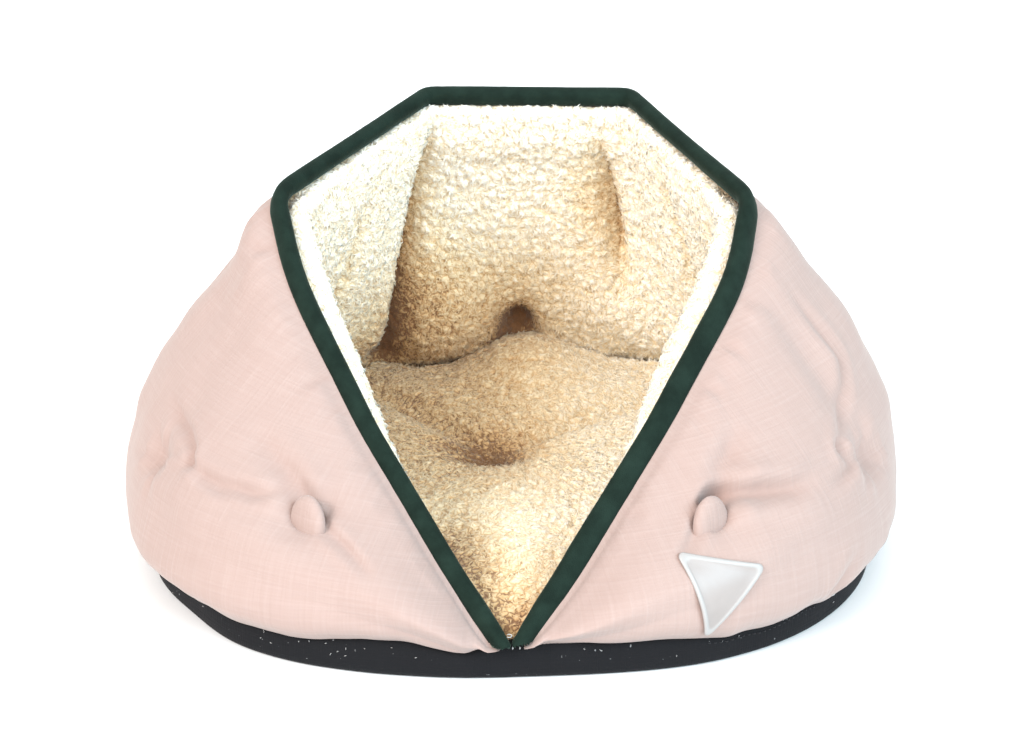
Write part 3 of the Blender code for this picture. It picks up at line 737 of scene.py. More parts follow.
def object_from(name, verts, quads, tris=(), uv=None, tone=None):
    """An object from arrays of vertices and faces, with a UV map and one number per vertex."""
    mesh = bpy.data.meshes.new(name)
    quads = np.asarray(quads, np.int32).reshape(-1, 4)
    tris = np.asarray(tris, np.int32).reshape(-1, 3)
    corners = np.concatenate((quads.ravel(), tris.ravel()))
    starts = np.concatenate((np.arange(len(quads)) * 4, len(quads) * 4 + np.arange(len(tris)) * 3))
    mesh.vertices.add(len(verts))
    mesh.vertices.foreach_set("co", np.asarray(verts, np.float32).ravel())
    mesh.loops.add(len(corners))
    mesh.loops.foreach_set("vertex_index", corners)
    mesh.polygons.add(len(starts))
    mesh.polygons.foreach_set("loop_start", starts.astype(np.int32))
    mesh.update(calc_edges=True)
    if uv is not None:
        layer = mesh.uv_layers.new(name="UVMap")
        layer.data.foreach_set("uv", np.asarray(uv, np.float32)[corners].ravel())
    if tone is not None:
        attribute = mesh.attributes.new("tone", "FLOAT", "POINT")
        attribute.data.foreach_set("value", np.asarray(tone, np.float32).ravel())
    mesh.validate()
    mesh.shade_smooth()
    return link(bpy.data.objects.new(name, mesh))


def grid_quads(columns, rows, around, first=0):
    """Faces of a grid of vertices; around joins the last row to the first."""
    i = np.arange(columns - 1)[:, None]
    j = np.arange(rows if around else rows - 1)[None, :]
    after = (j + 1) % rows
    quads = np.stack(np.broadcast_arrays(i * rows + j, (i + 1) * rows + j,
                                         (i + 1) * rows + after, i * rows + after), axis=-1)
    return quads.reshape(-1, 4) + first


def fan(loop, centre):
    """Triangles from a loop of vertices to one vertex."""
    loop = np.asarray(loop)
    return np.stack((loop, np.roll(loop, -1), np.full(len(loop), centre)), axis=-1)


def loft_object(name, sections, uv, tone, material):
    """A closed form through closed sections, capped at both ends."""
    columns, rows = sections.shape[:2]
    verts = np.concatenate((sections.reshape(-1, 3), sections[:1].mean(axis=1), sections[-1:].mean(axis=1)))
    quads = grid_quads(columns, rows, True)
    last = (columns - 1) * rows + np.arange(rows)
    tris = np.concatenate((fan(np.arange(rows), columns * rows), fan(last[::-1], columns * rows + 1)))
    uv = np.concatenate((uv.reshape(-1, 2), uv[0, :1], uv[-1, :1]))
    tone = np.concatenate((tone.ravel(), tone[0, :1], tone[-1, :1]))
    obj = object_from(name, verts, quads, tris, uv, tone)
    obj.data.materials.append(material)
    return obj


# ------------------------------------------------------------- materials
class Nodes:
    """Short calls for building one procedural material."""

    def __init__(self, name, roughness):
        self.material = bpy.data.materials.new(name)
        self.material.use_nodes = True
        self.tree = self.material.node_tree
        self.shader = self.tree.nodes["Principled BSDF"]
        self.shader.inputs["Roughness"].default_value = roughness

    def add(self, kind, inputs=None, **settings):
        node = self.tree.nodes.new(kind)
        for key, value in settings.items():
            setattr(node, key, value)
        for key, value in (inputs or {}).items():
            if isinstance(value, bpy.types.NodeSocket):
                self.tree.links.new(value, node.inputs[key])
            else:
                node.inputs[key].default_value = value
        return node

    def maths(self, operation, a, b=0.0, clamp=False):
        node = self.add("ShaderNodeMath", {0: a, 1: b}, operation=operation)
        node.use_clamp = clamp
        return node.outputs[0]

    def noise_at(self, vector, scale, detail=2.0, roughness=0.5):
        node = self.add("ShaderNodeTexNoise", {"Vector": vector, "Scale": scale, "Detail": detail,
                                               "Roughness": roughness})
        return node.outputs["Fac"]

    def stretched(self, vector, scale):
        node = self.add("ShaderNodeMapping", {"Vector": vector, "Scale": scale})
        return node.outputs["Vector"]

    def ramp(self, value, stops):
        node = self.add("ShaderNodeValToRGB", {"Fac": value})
        elements = node.color_ramp.elements
        while len(elements) < len(stops):
            elements.new(0.5)
        for element, (position, colour) in zip(elements, stops):
            element.position = position
            element.color = (*colour, 1.0)
        return node.outputs["Color"]

    def mix(self, factor, a, b):
        node = self.add("ShaderNodeMix", data_type="RGBA")
        for socket, value in (("Factor_Float", factor), ("A_Color", a), ("B_Color", b)):
            target = next(s for s in node.inputs if s.identifier == socket)
            if isinstance(value, bpy.types.NodeSocket):
                self.tree.links.new(value, target)
            else:
                target.default_value = value if isinstance(value, float) else (*value, 1.0)
        return next(s for s in node.outputs if s.identifier == "Result_Color")

    def tone(self):
        return self.add("ShaderNodeAttribute", attribute_name="tone").outputs["Fac"]

    def place(self):
        return self.add("ShaderNodeTexCoord").outputs["Object"]

    def yarns(self, uv, thin, scale):
        """Noise drawn out along each of the two ways of a weave."""
        ways = ((1.0, thin, 1.0), (thin, 1.0, 1.0))
        return [self.noise_at(self.stretched(uv, way), scale, 1.0) for way in ways]

    def colour(self, value):
        self.tree.links.new(value, self.shader.inputs["Base Color"])

    def bump(self, height, strength, distance):
        node = self.add("ShaderNodeBump", {"Height": height, "Strength": strength, "Distance": distance})
        self.tree.links.new(node.outputs["Normal"], self.shader.inputs["Normal"])

    def sheen(self, weight, roughness, tint):
        self.shader.inputs["Sheen Weight"].default_value = weight
        self.shader.inputs["Sheen Roughness"].default_value = roughness
        self.shader.inputs["Sheen Tint"].default_value = (*tint, 1.0)


def linen(name):
    """Plain weave with thick and thin yarns both ways, with painted shade a little darker down in the
    creases and round the tufts.
    """
    m = Nodes(name, 0.88)
    uv = m.add("ShaderNodeUVMap").outputs["UV"]
    yarns = m.maths("ADD", *m.yarns(uv, 0.025, 1100.0))
    slubs = m.maths("ADD", *(m.maths("POWER", thick, 3.0) for thick in m.yarns(uv, 0.05, 520.0)))
    height = m.maths("ADD", yarns, m.maths("MULTIPLY", slubs, 2.0))
    light = m.ramp(m.maths("MULTIPLY", height, 0.333), ((0.37, BLUSH), (0.84, BLUSH_PALE)))
    place = m.place()
    patch = m.noise_at(place, 9.0, 2.0)
    patched = m.mix(m.maths("MULTIPLY", patch, 0.35), light, BLUSH_PALE)
    deep = m.mix(m.tone(), patched, BLUSH_CREASE_SHADE)
    m.colour(deep)
    m.sheen(0.20, 0.5, (0.94, 1.0, 1.0))
    m.bump(height, 0.22, 0.0008)
    return m.material


def velvet(name):
    m = Nodes(name, 0.9)
    place = m.place()
    pile = m.noise_at(place, 1400.0, 2.0)
    brushed = m.noise_at(place, 60.0, 3.0, 0.6)
    shade = m.ramp(brushed, ((0.35, GREEN), (0.75, GREEN_PALE)))
    m.colour(m.mix(m.maths("MULTIPLY", pile, 0.4), shade, GREEN))
    m.sheen(0.24, 0.3, (0.45, 0.62, 0.52))
    m.shader.inputs["Specular IOR Level"].default_value = 0.15
    m.bump(pile, 0.5, 0.0006)
    return m.material


def fleece(name, painted_shade_offset, parted=0.32):
    """Curly pile: cream at its tips, with painted shade that browns it toward its roots and in the fine
    dark gaps between tufts.
    """
    m = Nodes(name, 0.95)
    place = m.place()
    bent = m.add("ShaderNodeTexNoise", {"Vector": place, "Scale": 230.0, "Detail": 1.0}).outputs["Color"]
    offset = m.add("ShaderNodeVectorMath", {0: bent, "Scale": 0.0060}, operation="SCALE").outputs["Vector"]
    moved = m.add("ShaderNodeVectorMath", {0: place, 1: offset}, operation="ADD").outputs["Vector"]
    tufts = m.add("ShaderNodeTexVoronoi", {"Vector": moved, "Scale": 235.0}, feature="DISTANCE_TO_EDGE")
    full = m.maths("POWER", m.maths("MULTIPLY", tufts.outputs["Distance"], 3.2, True), 0.6)
    strand = m.noise_at(moved, 800.0, 2.0)
    # Painted shade in the fine gaps between tufts.
    gaps = m.maths("MULTIPLY", m.maths("SUBTRACT", full, 0.85), parted)
    threads = m.maths("MULTIPLY", m.maths("SUBTRACT", strand, 0.5), 0.5 * parted)
    # A lower tone gives more painted shade; the offset darkens the whole material.
    tone = m.maths("SUBTRACT", m.tone(), painted_shade_offset)
    uneven = m.maths("ADD", tone, m.maths("ADD", gaps, threads))
    stops = ((0.0, FLEECE_DEEPEST_SHADE), (0.20, FLEECE_ROOT_SHADE), (0.52, FLEECE_HALF_SHADE), (0.90, FLEECE_TIP))
    m.colour(m.ramp(uneven, stops))
    m.sheen(0.25, 0.6, (1.0, 0.97, 0.90))
    m.shader.inputs["Specular IOR Level"].default_value = 0.10
    m.bump(m.maths("ADD", full, m.maths("MULTIPLY", strand, 0.6)), 1.3 * parted, 0.0016)
    return m.material


def black_cloth(name):
    m = Nodes(name, 0.85)
    uv = m.add("ShaderNodeUVMap").outputs["UV"]
    weave = m.maths("ADD", *m.yarns(uv, 0.04, 1300.0))
    place = m.place()
    specks = m.noise_at(place, 420.0, 1.0)
    lint = m.ramp(specks, ((0.76, (0.0, 0.0, 0.0)), (0.80, (1.0, 1.0, 1.0))))
    worn = m.mix(m.maths("MULTIPLY", m.noise_at(place, 40.0), 0.5), BLACK, BLACK_WORN)
    m.colour(m.mix(m.maths("MULTIPLY", lint, 0.4), worn, LINT_COLOUR))
    m.sheen(0.03, 0.5, (0.8, 0.8, 0.85))
    m.shader.inputs["Specular IOR Level"].default_value = 0.2
    m.bump(weave, 0.5, 0.0006)
    return m.material


def soft_rubber(name):
    m = Nodes(name, 0.42)
    place = m.place()
    cloudy = m.noise_at(place, 90.0, 3.0)
    face = m.mix(cloudy, RUBBER, RUBBER_CLOUDY)
    m.colour(m.mix(m.tone(), face, RUBBER_RIM))
    m.bump(m.noise_at(place, 1500.0), 0.15, 0.0003)
    return m.material


def thread(name, colour):
    m = Nodes(name, 0.8)
    place = m.place()
    twist = m.noise_at(place, 1200.0)
    m.colour(m.mix(m.maths("MULTIPLY", twist, 0.5), colour, tuple(1.6 * part for part in colour)))
    m.bump(twist, 0.4, 0.0003)
    return m.material


def floor_material():
    m = Nodes("floor", 0.9)
    place = m.place()
    m.colour(m.mix(m.noise_at(place, 3.0), (0.87, 0.87, 0.87), (0.89, 0.89, 0.89)))
    return m.material


# ------------------------------------------------------------- the outer wall
def wall_azimuths(count, nearest):
    return np.linspace(nearest, 360.0 - nearest, count)


def outer_points(chords, stations):
    """The outer cloth with its small creases, and how much painted shade each place takes in them and round
    the tufts.
    """
    offset = outside_offset(chords, stations)
    folds = fold_depth(chords, stations, OUTER_FOLDS)
    smooth = chords.points(stations, offset)
    relief = small_relief(chords, stations, smooth, 11) + gathers(chords, stations)
    relief = relief - FOOT_TUCK * bell(stations * chords.length[:, None], FOOT_HEIGHT)
    calm = 1.0
    for tuft in BUTTON_TUFTS:
        away = np.hypot(*way_from_tuft(chords, stations, tuft[0])) - BUTTON_RADIUS
        calm = calm * (1.0 - bell(np.maximum(away, 0.0), 0.004))
    relief = relief * calm
    edge = np.minimum(1.0, (1.0 - stations) * chords.length[:, None] / 0.006)
    # Painted shade: darker round the tufts' pulls and down in the small creases.
    deep = chords.puff[:, None] * pull_at(chords, stations, False) / 0.018
    deep = np.clip(0.35 * deep**2 + folds / 0.006 * 0.4, 0.0, 1.0)
    return chords.outer_points(stations, offset + (relief - folds) * edge), deep


def build_wall():
    chords = Chords(wall_azimuths(WALL_COLUMNS, 1.75))
    stations = np.linspace(0.0, 1.0, WALL_ROWS)[None, :]
    outer, deep = outer_points(chords, stations)
    tucked = [outer[:, -1:] + (chords.rim[:, None] - outer[:, -1:]) * part for part in (0.35, 0.75)]
    back_stations = HIDDEN_STATIONS[None, :]
    inner = chords.points(back_stations, inside_offset(chords, back_stations))
    sections = np.concatenate([outer] + tucked + [inner], axis=1)
    around = np.radians(chords.azimuth)[:, None] * ARC_RADIUS
    rows = sections.shape[1]
    up = np.linspace(0.0, rows / WALL_ROWS, rows)[None, :] * chords.length[:, None]
    uv = np.stack(np.broadcast_arrays(around, up), axis=-1)
    tone = np.concatenate((deep, np.zeros((WALL_COLUMNS, 2 + len(HIDDEN_STATIONS)))), axis=1)
    return loft_object("outer_wall", sections, uv, tone, linen("blush_linen"))


# ------------------------------------------------------------- fleece
def grid_normals(points):
    du = np.gradient(points, axis=0)
    dv = np.gradient(points, axis=1)
    return unit(np.cross(du, dv) + 1e-12)


def curly(points, normals, spacing, seed):
    """Soft curls of pile over a grid of places, how high each stands on them, and its own normal."""
    swirl = np.stack([noise(points / (1.6 * spacing), seed + k) for k in range(3)], axis=-1)
    high = 0.0
    for share, size in ((0.62, spacing), (0.38, 0.55 * spacing)):
        near, far = cells((points + 0.55 * spacing * swirl) / size, seed + 7)
        high = high + share * (0.65 * np.sqrt(np.clip((far - near) / 0.6, 0.0, 1.0))
                               + 0.35 * np.clip(1.0 - near * near, 0.0, 1.0))
    lumps = points + normals * (PILE_HEIGHT * high)[..., None]
    own = grid_normals(lumps)
    own *= np.sign(dot(own, normals))[..., None]
    return lumps, high, unit(0.6 * own + 0.4 * normals)


def scatter(points, normals, tone, count, rng):
    """Evenly spread random places on a grid surface, with their normals and one value of each."""
    across = points[1:, 1:] - points[:-1, :-1]
    area = 0.5 * np.linalg.norm(np.cross(across, points[:-1, 1:] - points[1:, :-1]), axis=-1)
    total = np.cumsum(area.ravel())
    picks = (np.arange(count) + rng.random(count)) / count * total[-1]
    i, j = np.divmod(np.minimum(np.searchsorted(total, picks), len(total) - 1), area.shape[1])
    u, v = rng.random(count)[:, None], rng.random(count)[:, None]

    def blended(grid):
        return ((grid[i, j] * (1 - u) + grid[i + 1, j] * u) * (1 - v)
                + (grid[i, j + 1] * (1 - u) + grid[i + 1, j + 1] * u) * v)

    return blended(points), unit(blended(normals)), blended(tone[..., None])[:, 0]


def pile_ways(places, normals, wavelength, spread, seed, rng):
    """The ways that the pile lies: swirls that neighbours share, and each lock's own turn."""
    swirl = np.stack([noise(places / wavelength, seed + k) for k in range(3)], axis=-1)
    swirl = swirl * 2.2 + np.array((0.0, 0.0, -0.25)) + spread * rng.normal(size=places.shape)
    return unit(swirl - normals * dot(swirl, normals)[:, None])


def locks(name, lumps, soft, high, painted_shade, count, material, rng):
    """Short soft locks of pile: each is a tapered strand that rises, leans and ends in a point."""
    # Each lock takes the painted shade where it stands, more in the gaps between lumps.
    places, normals, deep = scatter(lumps, soft, painted_shade + PILE_SHADE * (1.0 - high), count, rng)
    shades = 0.97 + 0.05 * rng.random(count) - deep
    length = LOCK_LENGTH
    sides = 3
    lean = pile_ways(places, normals, 0.016, 0.75, 81, rng)
    side = np.cross(normals, lean)
    reach = length * (0.75 + 0.5 * rng.random(count))
    stand = 0.26 + 0.30 * rng.random(count)
    swing = 0.45 * rng.normal(size=count)
    thick = length * (0.12 + 0.06 * rng.random(count))
    first = rng.random(count) * 2.0 * math.pi
    parts = (0.0, 0.55, 1.0)
    widths = (1.0, 0.80)
    last = len(widths) * sides
    verts = np.zeros((count, last + 1, 3))
    tone = np.zeros((count, last + 1))
    for k, part in enumerate(parts):
        up = reach * stand * math.sin(1.35 * part) - 0.16 * length
        over = reach * 0.62 * part**1.6
        middle = (places + normals * up[:, None] + lean * over[:, None]
                  + side * (swing * reach * part**2)[:, None])
        if k == len(widths):
            verts[:, -1] = middle
            tone[:, -1] = shades
            continue
        out = unit(normals * 0.6 * part - lean * (1.1 - 0.5 * part) + 1e-9)
        for q in range(sides):
            spin = first + 2.0 * math.pi * q / sides
            way = side * np.cos(spin)[:, None] + out * np.sin(spin)[:, None]
            verts[:, k * sides + q] = middle + way * (thick * widths[k])[:, None]
            # Painted shade: each lock is darker toward its root.
            tone[:, k * sides + q] = shades * (0.88 + 0.12 * min(1.0, 2.0 * part))
    one = [(q, (q + 1) % sides, sides + (q + 1) % sides, sides + q) for q in range(sides)]
    tip = [(last - sides + q, last - sides + (q + 1) % sides, last) for q in range(sides)]
    tip.append((2, 1, 0))
    start = (np.arange(count) * (last + 1))[:, None, None]
    quads = (np.array(one)[None] + start).reshape(-1, 4)
    tris = (np.array(tip)[None] + start).reshape(-1, 3)
    obj = object_from(name, verts.reshape(-1, 3), quads, tris, tone=tone)
    soften(obj, np.repeat(normals, last + 1, axis=0))
    obj.data.materials.append(material)
    return obj


def soften(obj, normals):
    """Shades the locks mostly like the pile they stand on, so that they look soft."""
    own = np.zeros(len(obj.data.vertices) * 3)
    obj.data.vertices.foreach_get("normal", own)
    mixed = unit(0.06 * own.reshape(-1, 3) + 0.94 * normals)
    obj.data.normals_split_custom_set_from_vertices(mixed.tolist())


def lining_azimuths():
    """Close together round the back, where the mouth shows the fleece, and wider in front."""
    back = np.linspace(95.0, 265.0, LINING_BACK_COLUMNS)
    front = np.linspace(2.2, 95.0, LINING_FRONT_COLUMNS, endpoint=False)
    return np.concatenate((front, back, 360.0 - front[::-1]))


def lip_points(chords):
    """The fleece that stands up beside the binding and rolls back to the wall's edge."""
    turned = turn_between(chords.azimuth, 0.0)
    front = 1.0 / (1.0 + np.exp((np.abs(turned) - LIP_FRONT_TURN) / 5.0))
    size = (chords.puff * (LIP_LEAST + (1.0 - LIP_LEAST) * front))[:, None]
    edge = inside_offset(chords, np.array(((1.0,),))) - GAP - chords.fleece[:, None]
    sides = bell(np.abs(turned) - 45.0, 30.0) * np.where(turned > 0.0, LIP_RIGHT_SHARE, 1.0)
    reach = size * (1.0 + LIP_SIDE_REACH * sides[:, None])
    height = size * (1.0 + LIP_SIDE_RISE * sides[:, None])
    rows = []
    for rise, away in LIP:
        flat = chords.points(np.array(((1.0,),)), edge - away * reach)
        rows.append(flat + chords.rise[:, None] * (rise * height)[..., None])
    return np.concatenate(rows, axis=1)


def lining_face(chords, stations, sunk):
    offset = inside_offset(chords, stations) - GAP - chords.fleece[:, None] + sunk
    return chords.points(stations, offset)


def painted_left_shade(points):
    """How deep each place lies in the painted shade of the cave's left side, browner where the left wall
    shades it, from 0 to 1.
    """
    x, y, z = points[..., 0], points[..., 1], points[..., 2]
    left = 1.0 / (1.0 + np.exp((x - 0.020 - 0.25 * (z - 0.06)) / 0.020))
    low = 1.0 / (1.0 + np.exp((z - 0.135 + 0.9 * np.maximum(-x - 0.06, 0.0)) / 0.016))
    rear = 1.0 / (1.0 + np.exp((-0.085 - y) / 0.018))
    return left * low * rear


def build_lining():
    chords = Chords(lining_azimuths())
    stations = np.linspace(0.0, LINING_TOP_STATION, LINING_ROWS)[None, :]
    flat, lip = lining_face(chords, stations, PILE_SUNK), lip_points(chords)
    parts = np.linspace(0.0, 1.0, LINING_BRIDGE_ROWS + 2)[None, 1:-1, None]
    bridge = flat[:, -1:] + (lip[:, :1] - flat[:, -1:]) * parts
    face = np.concatenate((flat, bridge, lip), axis=1)
    start = LINING_ROWS - LINING_SMOOTHED_ROWS
    for _ in range(10):
        face[:, start:-5] = (face[:, start - 1:-6] + 2.0 * face[:, start:-5] + face[:, start + 1:-4]) / 4.0
    normals = grid_normals(face)
    inward = -chords.level[:, None]
    normals *= np.sign(dot(normals, inward + np.array((0.0, 0.0, 0.3))))[..., None]
    lumps, high, soft = curly(face, normals, LINING_CURL, 31)
    back_stations = HIDDEN_STATIONS[None, :]
    back = chords.points(back_stations, inside_offset(chords, back_stations) - GAP)
    sections = np.concatenate((lumps, back), axis=1)
    # Painted shade down in the tufts and creases of the lining.
    crease = np.clip(pull_at(chords, stations, True) / 0.020, 0.0, 1.0)
    crease = np.concatenate((crease, np.zeros((len(face), LINING_BRIDGE_ROWS + len(LIP)))), axis=1)
    # Painted shade on the cave's left side and in the listed patches of shade.
    painted_shade_mask = painted_left_shade(face)
    turned = turn_between(chords.azimuth, 180.0)[:, None]
    levels = np.concatenate((stations[0], np.ones(LINING_BRIDGE_ROWS + len(LIP))))[None, :]
    for middle, half_turn, level, half_length, amount in PAINTED_SHADE_PATCHES:
        painted_shade_mask = painted_shade_mask + amount * bell(turned - middle, half_turn) * bell(levels - level, half_length)
    # The pile's tone: painted shade in the valleys between its lumps, in the creases, on the cave's left
    # side and in the patches.
    tone = 0.50 + 0.50 * high - 0.60 * crease - PAINTED_SIDE_SHADE * painted_shade_mask
    tones = np.concatenate((tone, np.full((len(face), len(HIDDEN_STATIONS)), 0.2)), axis=1)
    uv = np.zeros(sections.shape[:2] + (2,))
    material = fleece("lining_fleece", 0.0)
    tips = fleece("lining_tips", 0.0, 0.10)
    base = loft_object("lining_pile", sections, uv, tones, material)
    rng = np.random.default_rng(5)
    pieces = [base]
    third = len(face) // 3
    for index, name in enumerate(("lining_locks_right", "lining_locks_back", "lining_locks_left")):
        part = slice(index * third, min((index + 1) * third + 1, len(face)))
        # The same painted shade for the locks.
        painted_shade = 0.60 * crease[part] + PAINTED_SIDE_SHADE * painted_shade_mask[part]
        pieces.append(locks(name, lumps[part], soft[part], high[part], painted_shade, LINING_LOCKS, tips, rng))
    return pieces


# ------------------------------------------------------------- the floor pad
def cushion_radius(azimuths):
    """As wide as the lining leaves free below the pad's crown."""
    turned = turn_between(azimuths, 0.0)
    turned = np.where(np.abs(turned) < FIRST_AZIMUTH, np.copysign(FIRST_AZIMUTH, turned), turned)
    chords = Chords(turned)
    stations = np.linspace(0.0, 1.0, 31)[None, :]
    faces = lining_face(chords, stations, 0.0)
    reach = np.hypot(faces[..., 0], faces[..., 1])
    reach = np.where(faces[..., 2] < CUSHION_REACH_HEIGHT, reach, 1.0)
    return reach.min(axis=1) - CUSHION_CLEARANCE


def cushion_top(x, y, part):
    height = CUSHION_CROWN - CUSHION_EDGE_DROP * part**4
    for lobe_x, lobe_y, radius, lobe in CUSHION_LOBES:
        height = height + lobe * bell(np.hypot(x - lobe_x, y - lobe_y), radius)
    height = height + PAD_REAR_RISE * bell(x - 0.012, 0.048) * bell(y - 0.172, 0.030)
    height = height - PAD_FRONT_DROP * bell(x, 0.030) * bell(y + 0.2285, 0.034)
    ax, ay = x - CUSHION_TUFT[0], y - CUSHION_TUFT[1]
    pull = CUSHION_TUFT_DEPTH * bell(np.hypot(ax, ay), CUSHION_TUFT_RADIUS)
    for azimuth, depth, half_width in CUSHION_CREASES:
        way = direction(azimuth)
        along = ax * way[0] + ay * way[1]
        across = np.abs(ax * way[1] - ay * way[0])
        crease = depth * (1.0 - 0.5 * part) * bell(across, half_width)
        pull = np.maximum(pull, np.where(along > 0.0, crease, 0.0))
    return height - pull, pull


def build_pad():
    azimuths = np.linspace(0.0, 360.0, PAD_COLUMNS + 1)
    turned = azimuths[:-1]
    radii = cushion_radius(turned + 0.01)
    front = bell(turn_between(turned, 0.0), 4.5)
    radii = radii + (base_radius(turned) - PAD_TIP_INSET - radii) * front
    beside = bell(turn_between(turned, 128.0), 36.0) + 0.7 * bell(turn_between(turned, -145.0), 30.0)
    radii = radii + PAD_OVERLAP * beside
    radii = np.append(radii, radii[0])
    way = direction(azimuths)
    parts = np.linspace(0.985, 0.0, PAD_RINGS)[None, :]
    x = way[:, :1] * radii[:, None] * parts
    y = way[:, 1:2] * radii[:, None] * parts
    z, pull = cushion_top(x, y, parts)
    rising = PAD_RIGHT_RISE * bell(turn_between(azimuths, 130.0), 34.0)
    rising = rising + PAD_LEFT_RISE * bell(turn_between(azimuths, -145.0), 26.0)
    z = z + rising[:, None] * parts**7
    top = np.stack((x, y, z - PAD_SUNK), axis=-1)
    normals = grid_normals(top)
    normals *= np.sign(normals[..., 2:3] + 1e-9)
    normals[:, -1] = (0.0, 0.0, 1.0)
    lumps, high, soft = curly(top, normals, PAD_CURL, 41)
    lumps[:, -1] = lumps[:, -1].mean(axis=0)
    lumps[-1] = lumps[0]
    low = BASE_HEIGHT + GAP
    slope = bell(turn_between(azimuths, 0.0), 9.0)
    skirt = []
    for part, rise in ((0.0, 0.0), (0.93, 0.0), (0.985, 0.004), (1.0, 0.009)):
        ring = way * (radii * part)[:, None]
        ring[:, 2] = low + rise * (1.0 - 0.7 * slope)
        skirt.append(ring[:, None])
    sections = np.concatenate(skirt + [lumps], axis=1)
    rows = sections.shape[1]
    quads = grid_quads(PAD_COLUMNS + 1, rows, False)
    quads = np.where(quads >= PAD_COLUMNS * rows, quads - PAD_COLUMNS * rows, quads)
    # Painted shade on the pad: round its tuft and along its creases, on the cave's left side, at the V tip,
    # at its left front and toward its front.
    crease = np.clip(pull / CUSHION_TUFT_DEPTH, 0.0, 1.0)
    tufted = bell(np.hypot(x - CUSHION_TUFT[0], y - CUSHION_TUFT[1]), CUSHION_TUFT_RADIUS)
    painted_shade = 0.34 * tufted + 0.10 * crease + PAINTED_SIDE_SHADE * painted_left_shade(top)
    painted_shade = painted_shade + TIP_SHADE * bell(x, 0.030) * bell(y + 0.245, 0.040)
    painted_shade = painted_shade + LEFT_SHADE * bell(x + 0.045, 0.034) * bell(y + 0.165, 0.062)
    painted_shade = painted_shade + FRONT_SHADE / (1.0 + np.exp((y + 0.150) / 0.016))
    # The pile's tone: painted shade in the valleys between its lumps and in the places above.
    tone = np.concatenate((np.full((PAD_COLUMNS + 1, 4), 0.5), 0.50 + 0.50 * high - painted_shade), axis=1)
    # The floor's fleece takes a little more painted shade all over.
    material = fleece("floor_fleece", 0.05)
    pad = object_from("floor_pad", sections[:-1].reshape(-1, 3), quads, tone=tone[:-1])
    weld(pad)
    pad.data.materials.append(material)
    rng = np.random.default_rng(9)
    tips = fleece("floor_tips", 0.05, 0.10)
    return [pad, locks("floor_locks", lumps, soft, high, painted_shade, PAD_LOCKS, tips, rng)]


def weld(obj):
    """Joins the vertices that lie on one another."""
    bm = bmesh.new()
    bm.from_mesh(obj.data)
    bmesh.ops.remove_doubles(bm, verts=bm.verts, dist=0.00002)
    bm.to_mesh(obj.data)
    bm.free()
    obj.data.shade_smooth()


# ------------------------------------------------------------- binding, base, buttons, tag
def build_binding():
    """The velvet strip: flattened over the rim, wider on the right, slightly uneven."""
    first = RIM_LINE[0] + unit(RIM_LINE[0] - RIM_LINE[3]) * BINDING_OVERRUN
    last = RIM_LINE[-1] + unit(RIM_LINE[-1] - RIM_LINE[-4]) * BINDING_OVERRUN
    line = even_points(np.concatenate((first[None], RIM_LINE, last[None])), BINDING_STEPS)
    azimuths = np.degrees(np.arctan2(line[:, 0], -line[:, 1]))
    seam = direction(azimuths) * base_radius(azimuths)[:, None]
    seam[:, 2] = BASE_HEIGHT
    along = unit(np.gradient(line, axis=0))
    down = seam - line
    down = unit(down - along * dot(down, along)[:, None])
    for _ in range(12):
        down[1:-1] = (down[:-2] + down[1:-1] + down[2:]) / 3.0
    down = unit(down - along * dot(down, along)[:, None])
    out = np.cross(along, down)
    right = np.clip(azimuths / 12.0, 0.0, 1.0) * np.clip((115.0 - azimuths) / 30.0, 0.0, 1.0)
    wide = BINDING_HALF_WIDTH + BINDING_RIGHT_WIDENING * right
    line = line - down * (BINDING_RIGHT_SHIFT * right)[:, None]
    s = np.linspace(0.0, 1.0, len(line))[:, None]
    spin = np.linspace(0.0, 2.0 * math.pi, BINDING_SIDES, endpoint=False)[None, :]
    uneven = 1.0 + 0.03 * flat_noise(s * 60.0, spin * 0.8, 51)
    uneven = uneven + 0.012 * flat_noise(s * 300.0, spin * 1.5, 52)
    c, d = np.cos(spin), np.sin(spin)
    square = (np.abs(c) ** 2.6 + np.abs(d) ** 2.6) ** (-1.0 / 2.6)
    points = line[:, None] + (down[:, None] * (c * square * wide[:, None] * uneven)[..., None]
                              + out[:, None] * (d * square * BINDING_HALF_THICKNESS * uneven)[..., None])
    seam_top = (seam_height(azimuths) + GAP + BINDING_FOOT_RISE * bell(azimuths, 4.0))[:, None]
    reach = np.hypot(points[..., 0], points[..., 1])
    most = (base_radius(azimuths) + BINDING_PROUD)[:, None]
    under = points[..., 2] < seam_top
    points[..., :2] *= np.where(under, np.minimum(1.0, most / reach), 1.0)[..., None]
    height = points[..., 2]
    points[..., 2] = np.where(under, seam_top - BINDING_FOOT_SLOPE * (seam_top - height), height)
    right_end = (np.arange(len(line)) < len(line) // 8)[:, None]
    left_end = right_end[::-1]
    x = points[..., 0]
    x = np.where(left_end, np.minimum(x, -0.5 * GAP), x)
    points[..., 0] = np.where(right_end, np.maximum(x, 0.5 * GAP), x)
    uv = np.stack(np.broadcast_arrays(s * 1.1, spin * 0.006), axis=-1)
    return loft_object("velvet_binding", points, uv, np.zeros(points.shape[:2]), velvet("green_velvet"))


